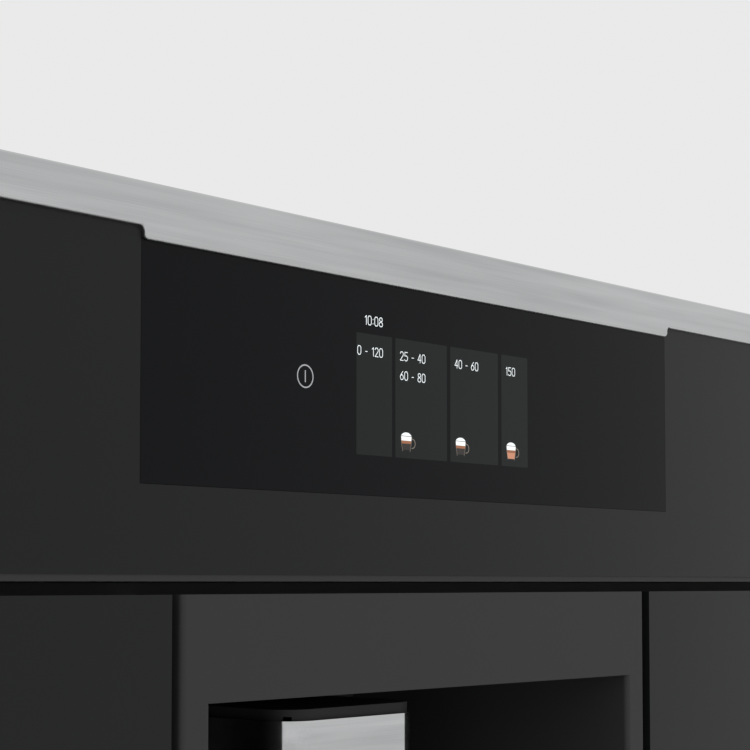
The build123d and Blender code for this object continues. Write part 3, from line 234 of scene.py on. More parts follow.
def detail_group(detail: Detail) -> Tree:
    """Shader group of a detail, made the first time it is asked for.

    Args:
        detail: the fine surface.

    Returns:
        Its shader group.
    """
    existing = bpy.data.node_groups.get(detail.value)
    if existing is not None:
        return existing
    pattern = SurfacePattern(detail.value)
    if detail in DRAWN_PATTERNS:
        return pattern.lead_out(*DRAWN_PATTERNS[detail](pattern))
    return pattern.lead_out(*(pattern.noise(settings) for settings in NOISE_PATTERNS[detail]))


# ------------------------------------------------------------------ finishes


@dataclass(frozen=True)
class Finish:
    """One surface finish, turned into a material when it is first used.

    Colours are linear. The detail's mask mixes the two colours and runs the roughness from the low to the
    high value.
    """

    name: str
    slot: str
    low_colour: Colour
    high_colour: Colour
    roughness: tuple[float, float]
    detail: Detail
    metallic: float = 0.0
    bump: float = 0.0
    bump_depth: float = 0.00002
    coat: float = 0.0
    coat_roughness: float = 0.05
    ior: float = 1.5
    transmission: float = 0.0
    emission: float = 0.0
    specular: float = 0.5
    anisotropy: float = 0.0

    def material(self) -> bpy.types.Material:
        """Material of this finish, made the first time it is asked for.

        Returns:
            The material.
        """
        existing = bpy.data.materials.get(self.name)
        if existing is not None:
            return existing
        material = bpy.data.materials.new(self.name)
        material.use_nodes = True
        tree = material.node_tree
        shader = tree.nodes["Principled BSDF"]
        place = tree.nodes.new("ShaderNodeTexCoord")
        pattern = tree.nodes.new("ShaderNodeGroup")
        pattern.node_tree = detail_group(self.detail)
        tree.links.new(place.outputs["Object"], pattern.inputs["Vector"])
        mix = tree.nodes.new("ShaderNodeMix")
        mix.data_type = "RGBA"
        mix.inputs["A"].default_value = (*self.low_colour, 1.0)
        mix.inputs["B"].default_value = (*self.high_colour, 1.0)
        tree.links.new(pattern.outputs["Mask"], mix.inputs["Factor"])
        tree.links.new(mix.outputs["Result"], shader.inputs["Base Color"])
        rough = tree.nodes.new("ShaderNodeMapRange")
        rough.inputs["To Min"].default_value = self.roughness[0]
        rough.inputs["To Max"].default_value = self.roughness[1]
        tree.links.new(pattern.outputs["Mask"], rough.inputs["Value"])
        tree.links.new(rough.outputs["Result"], shader.inputs["Roughness"])
        if self.bump > 0:
            bump = tree.nodes.new("ShaderNodeBump")
            bump.inputs["Strength"].default_value = self.bump
            bump.inputs["Distance"].default_value = self.bump_depth
            tree.links.new(pattern.outputs["Height"], bump.inputs["Height"])
            tree.links.new(bump.outputs["Normal"], shader.inputs["Normal"])
        if self.emission > 0:
            tree.links.new(mix.outputs["Result"], shader.inputs["Emission Color"])
            shader.inputs["Emission Strength"].default_value = self.emission
        if self.anisotropy > 0:
            along = tree.nodes.new("ShaderNodeVectorTransform")
            along.vector_type = "VECTOR"
            along.convert_from = "OBJECT"
            along.convert_to = "WORLD"
            along.inputs[0].default_value = (1.0, 0.0, 0.0)
            tree.links.new(along.outputs[0], shader.inputs["Tangent"])
            shader.inputs["Anisotropic"].default_value = self.anisotropy
            shader.inputs["Anisotropic Rotation"].default_value = 0.25
        for label, value in (("Metallic", self.metallic), ("IOR", self.ior), ("Specular IOR Level", self.specular),
                             ("Transmission Weight", self.transmission), ("Coat Weight", self.coat),
                             ("Coat Roughness", self.coat_roughness)):
            shader.inputs[label].default_value = value
        return material


SATIN_PANEL = Finish("satin_panel_glass", "satin_panel", (0.0072, 0.0076, 0.0079), (0.0084, 0.0088, 0.0092),
                     (0.20, 0.24), Detail.SATIN, bump=0.25, bump_depth=0.000004, specular=0.18)
GLOSS_WINDOW = Finish("gloss_window_glass", "gloss_window", (0.0006, 0.0009, 0.0016), (0.0008, 0.0011, 0.002),
                      (0.006, 0.012), Detail.POLISHED, specular=0.12)
BRUSHED_STRIP = Finish("brushed_stainless", "brushed_strip", (0.30, 0.305, 0.31), (0.60, 0.605, 0.61),
                       (0.09, 0.14), Detail.BRUSHED, metallic=1.0, bump=0.25, bump_depth=0.00001,
                       anisotropy=0.3)
GALVANISED = Finish("galvanised_sheet_steel", "galvanised_sheet", (0.40, 0.41, 0.42), (0.46, 0.47, 0.48),
                    (0.34, 0.42), Detail.SPANGLE, metallic=0.9, bump=0.03)
ZINC_RAIL = Finish("zinc_rail_steel", "zinc_rail", (0.5, 0.51, 0.53), (0.62, 0.63, 0.65), (0.25, 0.4),
                   Detail.CAST, metallic=1.0, bump=0.1)
SCREW = Finish("blackened_screw", "screw_steel", (0.12, 0.12, 0.125), (0.2, 0.2, 0.205), (0.3, 0.45),
               Detail.TURNED, metallic=1.0, bump=0.2)
BLACK_MOULDING = Finish("black_moulding", "black_moulding", (0.0055, 0.0055, 0.006), (0.0085, 0.0085, 0.009),
                        (0.42, 0.52), Detail.MOULDED, bump=0.35, specular=0.35)
SCREEN_FRAME = Finish("screen_frame", "screen", (0.004, 0.004, 0.005), (0.007, 0.007, 0.008), (0.1, 0.2),
                      Detail.POLISHED)
CIRCUIT = Finish("circuit_board_green", "circuit_board", (0.010, 0.07, 0.028), (0.03, 0.13, 0.05),
                 (0.3, 0.4), Detail.BOARD, bump=0.4)
LENS = Finish("frosted_lens", "lens", (0.78, 0.8, 0.82), (0.86, 0.88, 0.9), (0.35, 0.45), Detail.POLISHED,
              transmission=0.5)
SMOKED = Finish("smoked_plastic", "smoked_plastic", (0.016, 0.016, 0.018), (0.022, 0.022, 0.025),
                (0.09, 0.16), Detail.POLISHED, coat=0.3)
KNOB = Finish("ribbed_knob", "knob_plastic", (0.02, 0.02, 0.021), (0.03, 0.03, 0.031), (0.38, 0.5),
              Detail.MOULDED, bump=0.3)
GREY_MOULDING = Finish("grey_moulding", "grey_moulding", (0.055, 0.058, 0.062), (0.075, 0.078, 0.082),
                       (0.4, 0.5), Detail.MOULDED, bump=0.35)
BURR_STEEL = Finish("burr_steel", "burr_steel", (0.5, 0.5, 0.5), (0.65, 0.65, 0.65), (0.2, 0.3),
                    Detail.TURNED, metallic=1.0, bump=0.3)
GEAR = Finish("acetal_gear", "gear_plastic", (0.62, 0.6, 0.52), (0.7, 0.68, 0.6), (0.35, 0.45),
              Detail.MOULDED, bump=0.2)
MOTOR_CAN = Finish("motor_can", "motor_steel", (0.36, 0.36, 0.37), (0.5, 0.5, 0.51), (0.28, 0.4),
                   Detail.TURNED, metallic=1.0, bump=0.2)
BREW_PLASTIC = Finish("brew_plastic", "brew_plastic", (0.05, 0.05, 0.054), (0.075, 0.075, 0.08),
                      (0.4, 0.52), Detail.MOULDED, bump=0.4)
SPINDLE = Finish("turned_spindle", "spindle_steel", (0.5, 0.5, 0.52), (0.64, 0.64, 0.66), (0.16, 0.26),
                 Detail.TURNED, metallic=1.0, bump=0.3)
RED = Finish("red_plastic", "red_plastic", (0.36, 0.012, 0.01), (0.46, 0.02, 0.016), (0.25, 0.35),
             Detail.MOULDED, bump=0.15)
OUTLET = Finish("outlet_plastic", "outlet_plastic", (0.014, 0.014, 0.015), (0.02, 0.02, 0.021),
                (0.12, 0.2), Detail.POLISHED)
CLEAR_TANK = Finish("clear_tank", "clear_tank", (0.70, 0.78, 0.82), (0.76, 0.83, 0.86), (0.02, 0.05),
                    Detail.POLISHED, transmission=0.96, ior=1.49)
HEATER = Finish("cast_heater", "heater_alloy", (0.42, 0.42, 0.43), (0.58, 0.58, 0.59), (0.4, 0.55),
                Detail.CAST, metallic=0.95, bump=0.5, bump_depth=0.0001)
HOSE = Finish("hose_tube", "hose_tube", (0.55, 0.55, 0.52), (0.68, 0.68, 0.65), (0.3, 0.4),
              Detail.POLISHED)
INLET = Finish("inlet_plastic", "inlet_plastic", (0.012, 0.012, 0.012), (0.018, 0.018, 0.018), (0.4, 0.5),
               Detail.MOULDED, bump=0.3)
SEAL = Finish("rubber_seal", "hose_tube", (0.010, 0.010, 0.010), (0.016, 0.016, 0.016), (0.6, 0.75),
              Detail.MOULDED, bump=0.3)

NODE_FINISHES = {finish.slot: finish for finish in (
    GALVANISED, ZINC_RAIL, SCREW, SATIN_PANEL, GLOSS_WINDOW, BRUSHED_STRIP, BLACK_MOULDING, SCREEN_FRAME, CIRCUIT,
    LENS, SMOKED, KNOB, GREY_MOULDING, BURR_STEEL, GEAR, MOTOR_CAN, BREW_PLASTIC, SPINDLE, RED, OUTLET, CLEAR_TANK,
    HEATER, HOSE, INLET)}


# ------------------------------------------------------------------ mesh making


def rays(angles: np.ndarray) -> np.ndarray:
    """Unit vectors at angles in radians: their cosine and sine."""
    return np.stack([np.cos(angles), np.sin(angles)], -1)


def lift(flat: np.ndarray, axis: str, level: float) -> np.ndarray:
    """Put 2D points into space, in the plane across an axis at a given level."""
    return np.insert(np.asarray(flat, float), "XYZ".index(axis), level, axis=1)


def ring_faces(rings: int, count: int, cap: bool, first: int) -> list[list[int]]:
    """Faces that join closed rings of equal length: point, next point, and the two above them.

    Args:
        rings: number of rings.
        count: points of each ring.
        cap: whether the two ends are closed.
        first: index of the first point.

    Returns:
        Vertex indices of each face.
    """
    steps = np.arange(count)
    starts = first + count * np.arange(rings - 1)[:, None]
    here, following = starts + steps, starts + (steps + 1) % count
    faces = np.stack([here, following, following + count, here + count], -1).reshape(-1, 4).tolist()
    if cap:
        faces.append((first + steps[::-1]).tolist())
        faces.append((first + (rings - 1) * count + steps).tolist())
    return faces


def inset_outline(outline: np.ndarray, amount: float) -> np.ndarray:
    """Move each corner of a closed outline inwards along its bisector.

    Args:
        outline: corners, one row each.
        amount: distance between the old edges and the new ones.

    Returns:
        The moved corners.
    """
    before = outline - np.roll(outline, 1, 0)
    after = np.roll(outline, -1, 0) - outline
    before /= np.linalg.norm(before, axis=1)[:, None]
    after /= np.linalg.norm(after, axis=1)[:, None]
    left = (before + after)[:, ::-1] * (-1.0, 1.0)
    left /= np.linalg.norm(left, axis=1)[:, None]
    following = np.roll(outline, -1, 0)
    area = 0.5 * np.sum(outline[:, 0] * following[:, 1] - outline[:, 1] * following[:, 0])
    half = np.sqrt(np.clip((1.0 + np.sum(before * after, 1)) / 2.0, 0.05, 1.0))
    return outline + left * math.copysign(amount, area) / half[:, None]


def rounded_outline(low: Point, high: Point, radius: float, steps: int = 6) -> np.ndarray:
    """Closed outline of a rectangle: a quarter circle round the centre of each of its corners.

    Args:
        low: lowest corner.
        high: highest corner.
        radius: radius of the corners.
        steps: steps of each quarter circle.

    Returns:
        Points of the outline, anticlockwise.
    """
    radius = min(radius, CORNER_LIMIT * (high[0] - low[0]), CORNER_LIMIT * (high[1] - low[1]))
    left, right = low[0] + radius, high[0] - radius
    bottom, top = low[1] + radius, high[1] - radius
    centres = np.array([(right, top), (left, top), (left, bottom), (right, bottom)])
    angles = np.radians(90.0 * np.arange(4)[:, None] + np.linspace(0.0, 90.0, steps + 1))
    return (centres[:, None] + radius * rays(angles)).reshape(-1, 2)


def stroke_outline(first: Point, last: Point, width: float, steps: int = 4) -> np.ndarray:
    """Outline of a straight stroke: a half circle round each of its ends.

    Args:
        first: centre of the first end.
        last: centre of the last end.
        width: width of the stroke.
        steps: steps of each half circle.

    Returns:
        Points of the outline, anticlockwise.
    """
    ends = np.array([last, first], float)
    heading = math.atan2(ends[0, 1] - ends[1, 1], ends[0, 0] - ends[1, 0])
    starts = heading + np.array([[-0.5], [0.5]]) * math.pi
    return (ends[:, None] + 0.5 * width * rays(starts + np.linspace(0.0, math.pi, steps + 1))).reshape(-1, 2)


@dataclass(frozen=True)
class RibSection:
    """Width, relief and bevel of a raised rib."""

    width: float
    relief: float
    bevel: float


@dataclass
class Shape:
    """Points and faces gathered from several closed solids, to become one object."""

    points: list[np.ndarray] = field(default_factory=list)
    faces: list[list[int]] = field(default_factory=list)

    def add_rings(self, rings: np.ndarray, cap: bool = True) -> None:
        """Add one solid given as rings of points.

        Args:
            rings: array of shape (rings, points per ring, 3).
            cap: whether both ends are closed.
        """
        rings = np.asarray(rings, float)
        self.faces.extend(ring_faces(rings.shape[0], rings.shape[1], cap, len(self.points)))
        self.points.extend(rings.reshape(-1, 3))

    def plate(self, outline: np.ndarray, axis: str, start: float, end: float, bevel: float = 0.0) -> None:
        """Add a plate: a flat outline pushed out along an axis, with a bevel on its far edge.

        Args:
            outline: (points, 2) outline in the plane across the axis, in x, y, z order.
            axis: "X", "Y" or "Z".
            start: place of the flat back on the axis.
            end: place of the face on the axis.
            bevel: width of the bevel round the face.
        """
        rings = [lift(outline, axis, start)]
        if bevel:
            rings.append(lift(outline, axis, end - math.copysign(bevel, end - start)))
            outline = inset_outline(outline, bevel)
        self.add_rings([*rings, lift(outline, axis, end)])

    def pad(self, low: Point, high: Point, radius: float, axis: str, start: float, end: float,
            bevel: float = 0.0) -> None:
        """Add a rectangular plate with round corners between two corners of its outline."""
        self.plate(rounded_outline(low, high, radius), axis, start, end, bevel)

    def stroke(self, first: Point, last: Point, width: float, back: float, thickness: float) -> None:
        """Add a straight stroke with round ends between two points, on a plane that faces -Y."""
        self.plate(stroke_outline(first, last, width), "Y", back, back - thickness)

    def rib(self, first: Point, last: Point, section: RibSection, axis: str, face: float, side: float) -> None:
        """Add a straight rib with round ends between two points, on the side (+1 or -1) of a face."""
        outline = stroke_outline(first, last, section.width)
        self.plate(outline, axis, face, face + side * section.relief, section.bevel)

    def lathe(self, profile: Sequence[Point], centre: Point, axis: str, segments: int) -> None:
        """Add a turned solid.

        Args:
            profile: radius and place along the axis of each ring.
            centre: the axis's place; its coordinate along the axis is added to the profile's.
            axis: "X", "Y" or "Z".
            segments: number of steps round.
        """
        ring = rays(np.linspace(0.0, 2 * math.pi, segments, endpoint=False))
        self.add_rings([lift(ring * radius, axis, height) + np.array(centre) for radius, height in profile])

    def screw_head(self, centre: Point, axis: str, side: float, radius: float = 3.2 * MM,
                   height: float = 1.6 * MM) -> None:
        """Add a domed screw head with a socket that stands on a face across an axis.

        Args:
            centre: point on the face.
            axis: axis across the face.
            side: +1 or -1, the way the head stands.
            radius: radius of the head.
            height: height of the head.
        """
        profile = np.array([(1.15, 0.0), (1.15, 0.25), (1.0, 0.3), (0.93, 0.7), (0.7, 0.95), (0.45, 1.0),
                            (0.4, 1.0), (0.38, 0.35), (0.02, 0.3)])
        self.lathe(profile * (radius, side * height), centre, axis, 24)

    def tube(self, path: Sequence[Point], radius: float, segments: int, closed: bool = False) -> None:
        """Add a round tube whose section is carried along a path without twist.

        Args:
            path: points of its centre line.
            radius: radius of the tube.
            segments: number of steps round.
            closed: whether the path ends where it starts.
        """
        path = np.asarray(path, float)
        tangents = np.roll(path, -1, 0) - np.roll(path, 1, 0) if closed else np.gradient(path, axis=0)
        tangents /= np.linalg.norm(tangents, axis=1)[:, None]
        normal = np.cross(tangents[0], (0.0, 0.0, 1.0) if abs(tangents[0][2]) < 0.9 else (1.0, 0.0, 0.0))
        turn = rays(np.linspace(0.0, 2 * math.pi, segments, endpoint=False))
        rings = []
        for centre, tangent in zip(path, tangents):
            normal = normal - tangent * np.dot(normal, tangent)
            normal /= np.linalg.norm(normal)
            rings.append(centre + radius * (turn @ np.stack([normal, np.cross(tangent, normal)])))
        if closed:
            rings.append(rings[0])
        self.add_rings(rings, cap=not closed)

    def flat_ring(self, centre: Point, outer: float, inner: float, back: float, thickness: float,
                  start: float = 0.0, end: float = 360.0, steps: int = 72) -> None:
        """Add a flat ring, or a part of one, that faces -Y.

        Args:
            centre: x and z of its centre.
            outer: outer radius.
            inner: inner radius.
            back: y of the plane it lies on.
            thickness: how far it stands in front.
            start: first angle in degrees.
            end: last angle in degrees.
            steps: number of steps along it.
        """
        turn = rays(np.radians(np.linspace(start, end, steps + 1)))
        section = ((outer, back), (inner, back), (inner, back - thickness), (outer, back - thickness))
        corners = [lift(turn * radius + centre, "Y", depth) for radius, depth in section]
        self.add_rings(np.stack(corners, 1), cap=end - start < 360.0)

    def build(self, name: str, finish: Finish, body: str, smooth: bool = True) -> None:
        """Make the object, give it its finish and let it ride on a body.

        Args:
            name: object name.
            finish: the finish it gets.
            body: CAD body it moves with.
            smooth: whether its faces are shaded smooth, with sharp edges kept by angle.
        """
        mesh = bpy.data.meshes.new(name)
        mesh.from_pydata([tuple(point) for point in self.points], [], self.faces)
        mesh.update()
        clean = bmesh.new()
        clean.from_mesh(mesh)
        bmesh.ops.recalc_face_normals(clean, faces=clean.faces)
        clean.to_mesh(mesh)
        clean.free()
        if smooth:
            mesh.shade_smooth()
            mesh.set_sharp_from_angle(angle=SHARP_ANGLE)
        obj = bpy.data.objects.new(name, mesh)
        bpy.context.scene.collection.objects.link(obj)
        mesh.materials.append(finish.material())
        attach(obj, body)


# ------------------------------------------------------------------ CAD places


@dataclass(frozen=True)
class Box:
    """Lowest and highest corner of a CAD node, in metres."""

    low: Vector
    high: Vector

    @classmethod
    def of(cls, node: str) -> "Box":
        """Box of a CAD node at rest."""
        return cls(*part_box(node))

    @property
    def middle(self) -> Vector:
        """Centre of the box."""
        return (self.low + self.high) / 2

    @property
    def walls(self) -> tuple[tuple[int, float], ...]:
        """Its two sides across X: -1 or +1, and the x of each."""
        return ((-1, self.low.x), (1, self.high.x))


def dress_cad_nodes() -> None:
    """Give every CAD node the finish that its material slot in the record names."""
    slots = {part["node"]: part["material_slot"] for part in frame["record"]["subparts"]}
    for name, obj in frame["nodes"].items():
        finish = NODE_FINISHES[slots[name]]
        obj.data.materials.clear()
        obj.data.materials.append(finish.material())
    log.info("dressed %d CAD nodes", len(frame["nodes"]))


# ------------------------------------------------------------------ screen contents

SCREEN_TILE = Finish("screen_tile", "screen", (0.0058, 0.0068, 0.0068), (0.0064, 0.0075, 0.0075), (0.25, 0.3),
                     Detail.POLISHED, emission=1.0, specular=0.12)
SCREEN_WHITE = Finish("screen_white", "screen", (0.50, 0.53, 0.54), (0.55, 0.58, 0.59), (0.3, 0.4),
                      Detail.POLISHED, emission=1.0)
SCREEN_COFFEE = Finish("screen_coffee", "screen", (0.006, 0.004, 0.003), (0.009, 0.006, 0.004), (0.3, 0.4),
                       Detail.POLISHED, emission=0.8)
SCREEN_CREMA = Finish("screen_crema", "screen", (0.16, 0.055, 0.022), (0.2, 0.075, 0.03), (0.3, 0.4),
                      Detail.POLISHED, emission=0.9)
SCREEN_LATTE = Finish("screen_latte", "screen", (0.30, 0.12, 0.07), (0.36, 0.16, 0.09), (0.3, 0.4),
                      Detail.POLISHED, emission=0.9)
SCREEN_GLASS = Finish("screen_cup_glass", "screen", (0.10, 0.085, 0.07), (0.13, 0.11, 0.09), (0.3, 0.4),
                      Detail.POLISHED, emission=0.8)
TOUCH_PRINT = Finish("touch_print", "gloss_window", (0.30, 0.31, 0.32), (0.36, 0.37, 0.38), (0.35, 0.45),
                     Detail.SATIN, emission=0.25)
PANEL_PRINT = Finish("grey_print", "grey_moulding", (0.42, 0.43, 0.44), (0.5, 0.51, 0.52), (0.4, 0.5),
                     Detail.SATIN)


class Glyph(Enum):
    """Sign, width and strokes of each plain sign in use, in a cell 1 high."""

    ZERO = ("0", 0.56, ((0.0, 0.2, 0.0, 0.8, 0.14, 1.0, 0.42, 1.0, 0.56, 0.8, 0.56, 0.2, 0.42, 0.0, 0.14, 0.0,
                         0.0, 0.2),))
    ONE = ("1", 0.36, ((0.08, 0.8, 0.3, 1.0, 0.3, 0.0),))
    TWO = ("2", 0.56, ((0.0, 0.8, 0.14, 1.0, 0.42, 1.0, 0.56, 0.82, 0.54, 0.62, 0.0, 0.0, 0.56, 0.0),))
    FOUR = ("4", 0.56, ((0.42, 0.0, 0.42, 1.0, 0.0, 0.3, 0.56, 0.3),))
    FIVE = ("5", 0.56, ((0.52, 1.0, 0.06, 1.0, 0.04, 0.56, 0.34, 0.6, 0.56, 0.42, 0.54, 0.16, 0.36, 0.0,
                         0.1, 0.0, 0.0, 0.12),))
    SIX = ("6", 0.56, ((0.46, 1.0, 0.1, 0.58, 0.0, 0.3, 0.12, 0.04, 0.3, 0.0, 0.5, 0.1, 0.56, 0.32, 0.44, 0.56,
                        0.24, 0.6, 0.06, 0.46),))
    EIGHT = ("8", 0.56, ((0.28, 0.54, 0.06, 0.66, 0.06, 0.88, 0.2, 1.0, 0.38, 1.0, 0.5, 0.88, 0.5, 0.66, 0.28, 0.54,
                          0.02, 0.38, 0.0, 0.14, 0.16, 0.0, 0.4, 0.0, 0.56, 0.14, 0.54, 0.38, 0.28, 0.54),))
    COLON = (":", 0.12, ((0.06, 0.18, 0.06, 0.22), (0.06, 0.66, 0.06, 0.70)))
    DASH = ("-", 0.4, ((0.04, 0.44, 0.36, 0.44),))
    SPACE = (" ", 0.3, ())

    @classmethod
    def of(cls, sign: str) -> "Glyph":
        """Glyph of a character."""
        return next(glyph for glyph in cls if glyph.value[0] == sign)


@dataclass(frozen=True)
class NumberLine:
    """A line of plain numbers lit in a plane that faces -Y."""

    text: str
    left: float
    base: float
    height: float
    weight: float = 0.085
    gap: float = 0.22

    def add_to(self, shape: Shape, back: float, thickness: float) -> None:
        """Add its strokes to a shape.

        Args:
            shape: shape that takes the strokes.
            back: y of the plane they lie on.
            thickness: how far they stand in front of it.
        """
        cursor = self.left
        for sign in self.text:
            _, width, paths = Glyph.of(sign).value
            for path in paths:
                corners = np.array(path).reshape(-1, 2) * self.height + (cursor, self.base)
                for first, last in zip(corners[:-1], corners[1:]):
                    shape.stroke(first, last, self.weight * self.height, back, thickness)
            cursor += (width + self.gap) * self.height


@dataclass(frozen=True)
class CupPictogram:
    """Small picture of a glass cup: coffee, a band of crema, milk and a dome of foam.

    Levels, the glass's top and the handle's place are shares of the cup's width and height.
    """

    left: float
    bottom: float
    drink: Finish
    width: float = 8.3 * MM
    height: float = 6.4 * MM
    levels: tuple[float, ...] = (0.06, 0.40, 0.56, 0.74)
    glass_top: float = 0.8
    glass_line: float = 0.22 * MM
    handle_place: tuple[float, float] = (0.30, 0.42)
    handle_gap: float = 0.6 * MM
    handle_radii: tuple[float, float] = (1.75 * MM, 1.45 * MM)

    @property
    def middle(self) -> float:
        """Place of the bowl's centre line across the screen."""
        return self.left + 0.38 * self.width

    def half_width(self, share: float | np.ndarray) -> float | np.ndarray:
        """Half the bowl's width at a share of its height: a quarter of a sine wave."""
        return 0.34 * self.width * (0.62 + 0.38 * np.sin(np.minimum(1.0, share + 0.12) * math.pi / 2))

    def slice_outline(self, low: float, high: float, steps: int = 10) -> np.ndarray:
        """Outline of the bowl between two shares of its height.

        Args:
            low: lower share.
            high: upper share.
            steps: points on each side.

        Returns:
            Points up the right side and down the left.
        """
        shares = np.linspace(low, high, steps)
        right = np.stack([self.half_width(shares), self.bottom + shares * self.height], 1)
        return np.concatenate([right, right[::-1] * (-1.0, 1.0)]) + (self.middle, 0.0)

    def build(self, back: float, thickness: float, name: str) -> None:
        """Make the picture's layers.

        Args:
            back: y of the plane they lie on.
            thickness: how far they stand in front of it.
            name: start of the objects' names.
        """
        outlines = [self.slice_outline(*pair) for pair in zip(self.levels, self.levels[1:])]
        top = self.levels[-1]
        outlines.append(rays(np.linspace(0.0, math.pi, 16)) * (self.half_width(top), (1.0 - top) * self.height)
                        + (self.middle, self.bottom + top * self.height))
        finishes = (self.drink, SCREEN_CREMA, SCREEN_WHITE, SCREEN_WHITE)
        for label, outline, finish in zip(("coffee", "crema", "milk", "foam"), outlines, finishes):
            shape = Shape()
            shape.plate(outline, "Y", back, back - thickness)
            shape.build(f"{name}_{label}", finish, "chassis", smooth=False)
        glass = Shape()
        rim = self.slice_outline(0.0, self.glass_top, 12)
        for first, last in zip(rim[:-1], rim[1:]):
            glass.stroke(first, last, self.glass_line, back - thickness, 0.5 * thickness)
        across, above = self.handle_place
        handle = (self.middle + across * self.width + self.handle_gap, self.bottom + above * self.height)
        glass.flat_ring(handle, *self.handle_radii, back, thickness, -100.0, 105.0, 24)
        glass.build(f"{name}_glass", SCREEN_GLASS, "chassis", smooth=False)


@dataclass(frozen=True)
class ScreenContents:
    """Clock, drink tiles and touch symbol that show in the dark window."""

    film: float = 0.03 * MM
    border: float = 5.0 * MM
    tile_edges: tuple[tuple[float, float], ...] = ((0.0, 18.1), (19.8, 47.6), (49.5, 77.0), (79.1, 95.0))
    tile_height: float = 40.8 * MM
    tile_radius: float = 0.3 * MM
    label_inset: float = 2.6 * MM
    cut_label_inset: float = 0.6 * MM
    label_height: float = 2.9 * MM
    label_top: float = 7.3 * MM
    label_pitch: float = 6.7 * MM
    labels: tuple[tuple[str, ...], ...] = (("0 - 120",), ("25 - 40", "60 - 80"), ("40 - 60",), ("150",))
    cup_bottom: float = 2.4 * MM
    clock: str = "10:08"
    clock_place: tuple[float, float] = (4.1 * MM, 3.1 * MM)
    clock_height: float = 3.0 * MM
    symbol_place: tuple[float, float] = (-72.1 * MM, 37.4 * MM)
    symbol_radii: tuple[float, float] = (3.83 * MM, 3.40 * MM)
    symbol_bar: tuple[float, float] = (1.8 * MM, 0.42 * MM)

    def build(self) -> None:
        """Make all that the window shows."""
        window, module = Box.of("display_window"), Box.of("display_module")
        left, bottom = module.low.x + self.border, module.low.z + self.border
        back = window.low.y
        front = back - self.film
        tiles, signs = Shape(), Shape()
        for edges, rows in zip(self.tile_edges, self.labels):
            low = (left + edges[0] * MM, bottom)
            high = (left + edges[1] * MM, bottom + self.tile_height)
            tiles.pad(low, high, self.tile_radius, "Y", back, front)
            inset = self.label_inset if edges[0] > 0 else self.cut_label_inset
            for row, text in enumerate(rows):
                base = high[1] - self.label_top - row * self.label_pitch
                NumberLine(text, low[0] + inset, base, self.label_height).add_to(signs, front, self.film)
        tiles.build("screen_tiles", SCREEN_TILE, "chassis", smooth=False)
        across, above = self.clock_place
        NumberLine(self.clock, left + across, bottom + self.tile_height + above, self.clock_height).add_to(
            signs, back, self.film)
        signs.build("screen_numbers", SCREEN_WHITE, "chassis", smooth=False)
        drinks = (SCREEN_COFFEE, SCREEN_COFFEE, SCREEN_LATTE)
        for number, (edges, drink) in enumerate(zip(self.tile_edges[1:], drinks), 1):
            cup = CupPictogram(left + edges[0] * MM + self.label_inset, bottom + self.cup_bottom, drink)
            cup.build(front, self.film, f"cup_picture_{number}")
        self.touch_symbol()

    def touch_symbol(self) -> None:
        """Ring with a bar, printed left of the screen."""
        window = Box.of("display_window")
        across, height = window.middle.x + self.symbol_place[0], window.low.z + self.symbol_place[1]
        back, (reach, width) = window.low.y, self.symbol_bar
        shape = Shape()
        shape.flat_ring((across, height), *self.symbol_radii, back, self.film)
        shape.stroke((across, height - reach), (across, height + reach), width, back, self.film)
        shape.build("touch_symbol", TOUCH_PRINT, "chassis", smooth=False)


# ------------------------------------------------------------------ sheet metal details


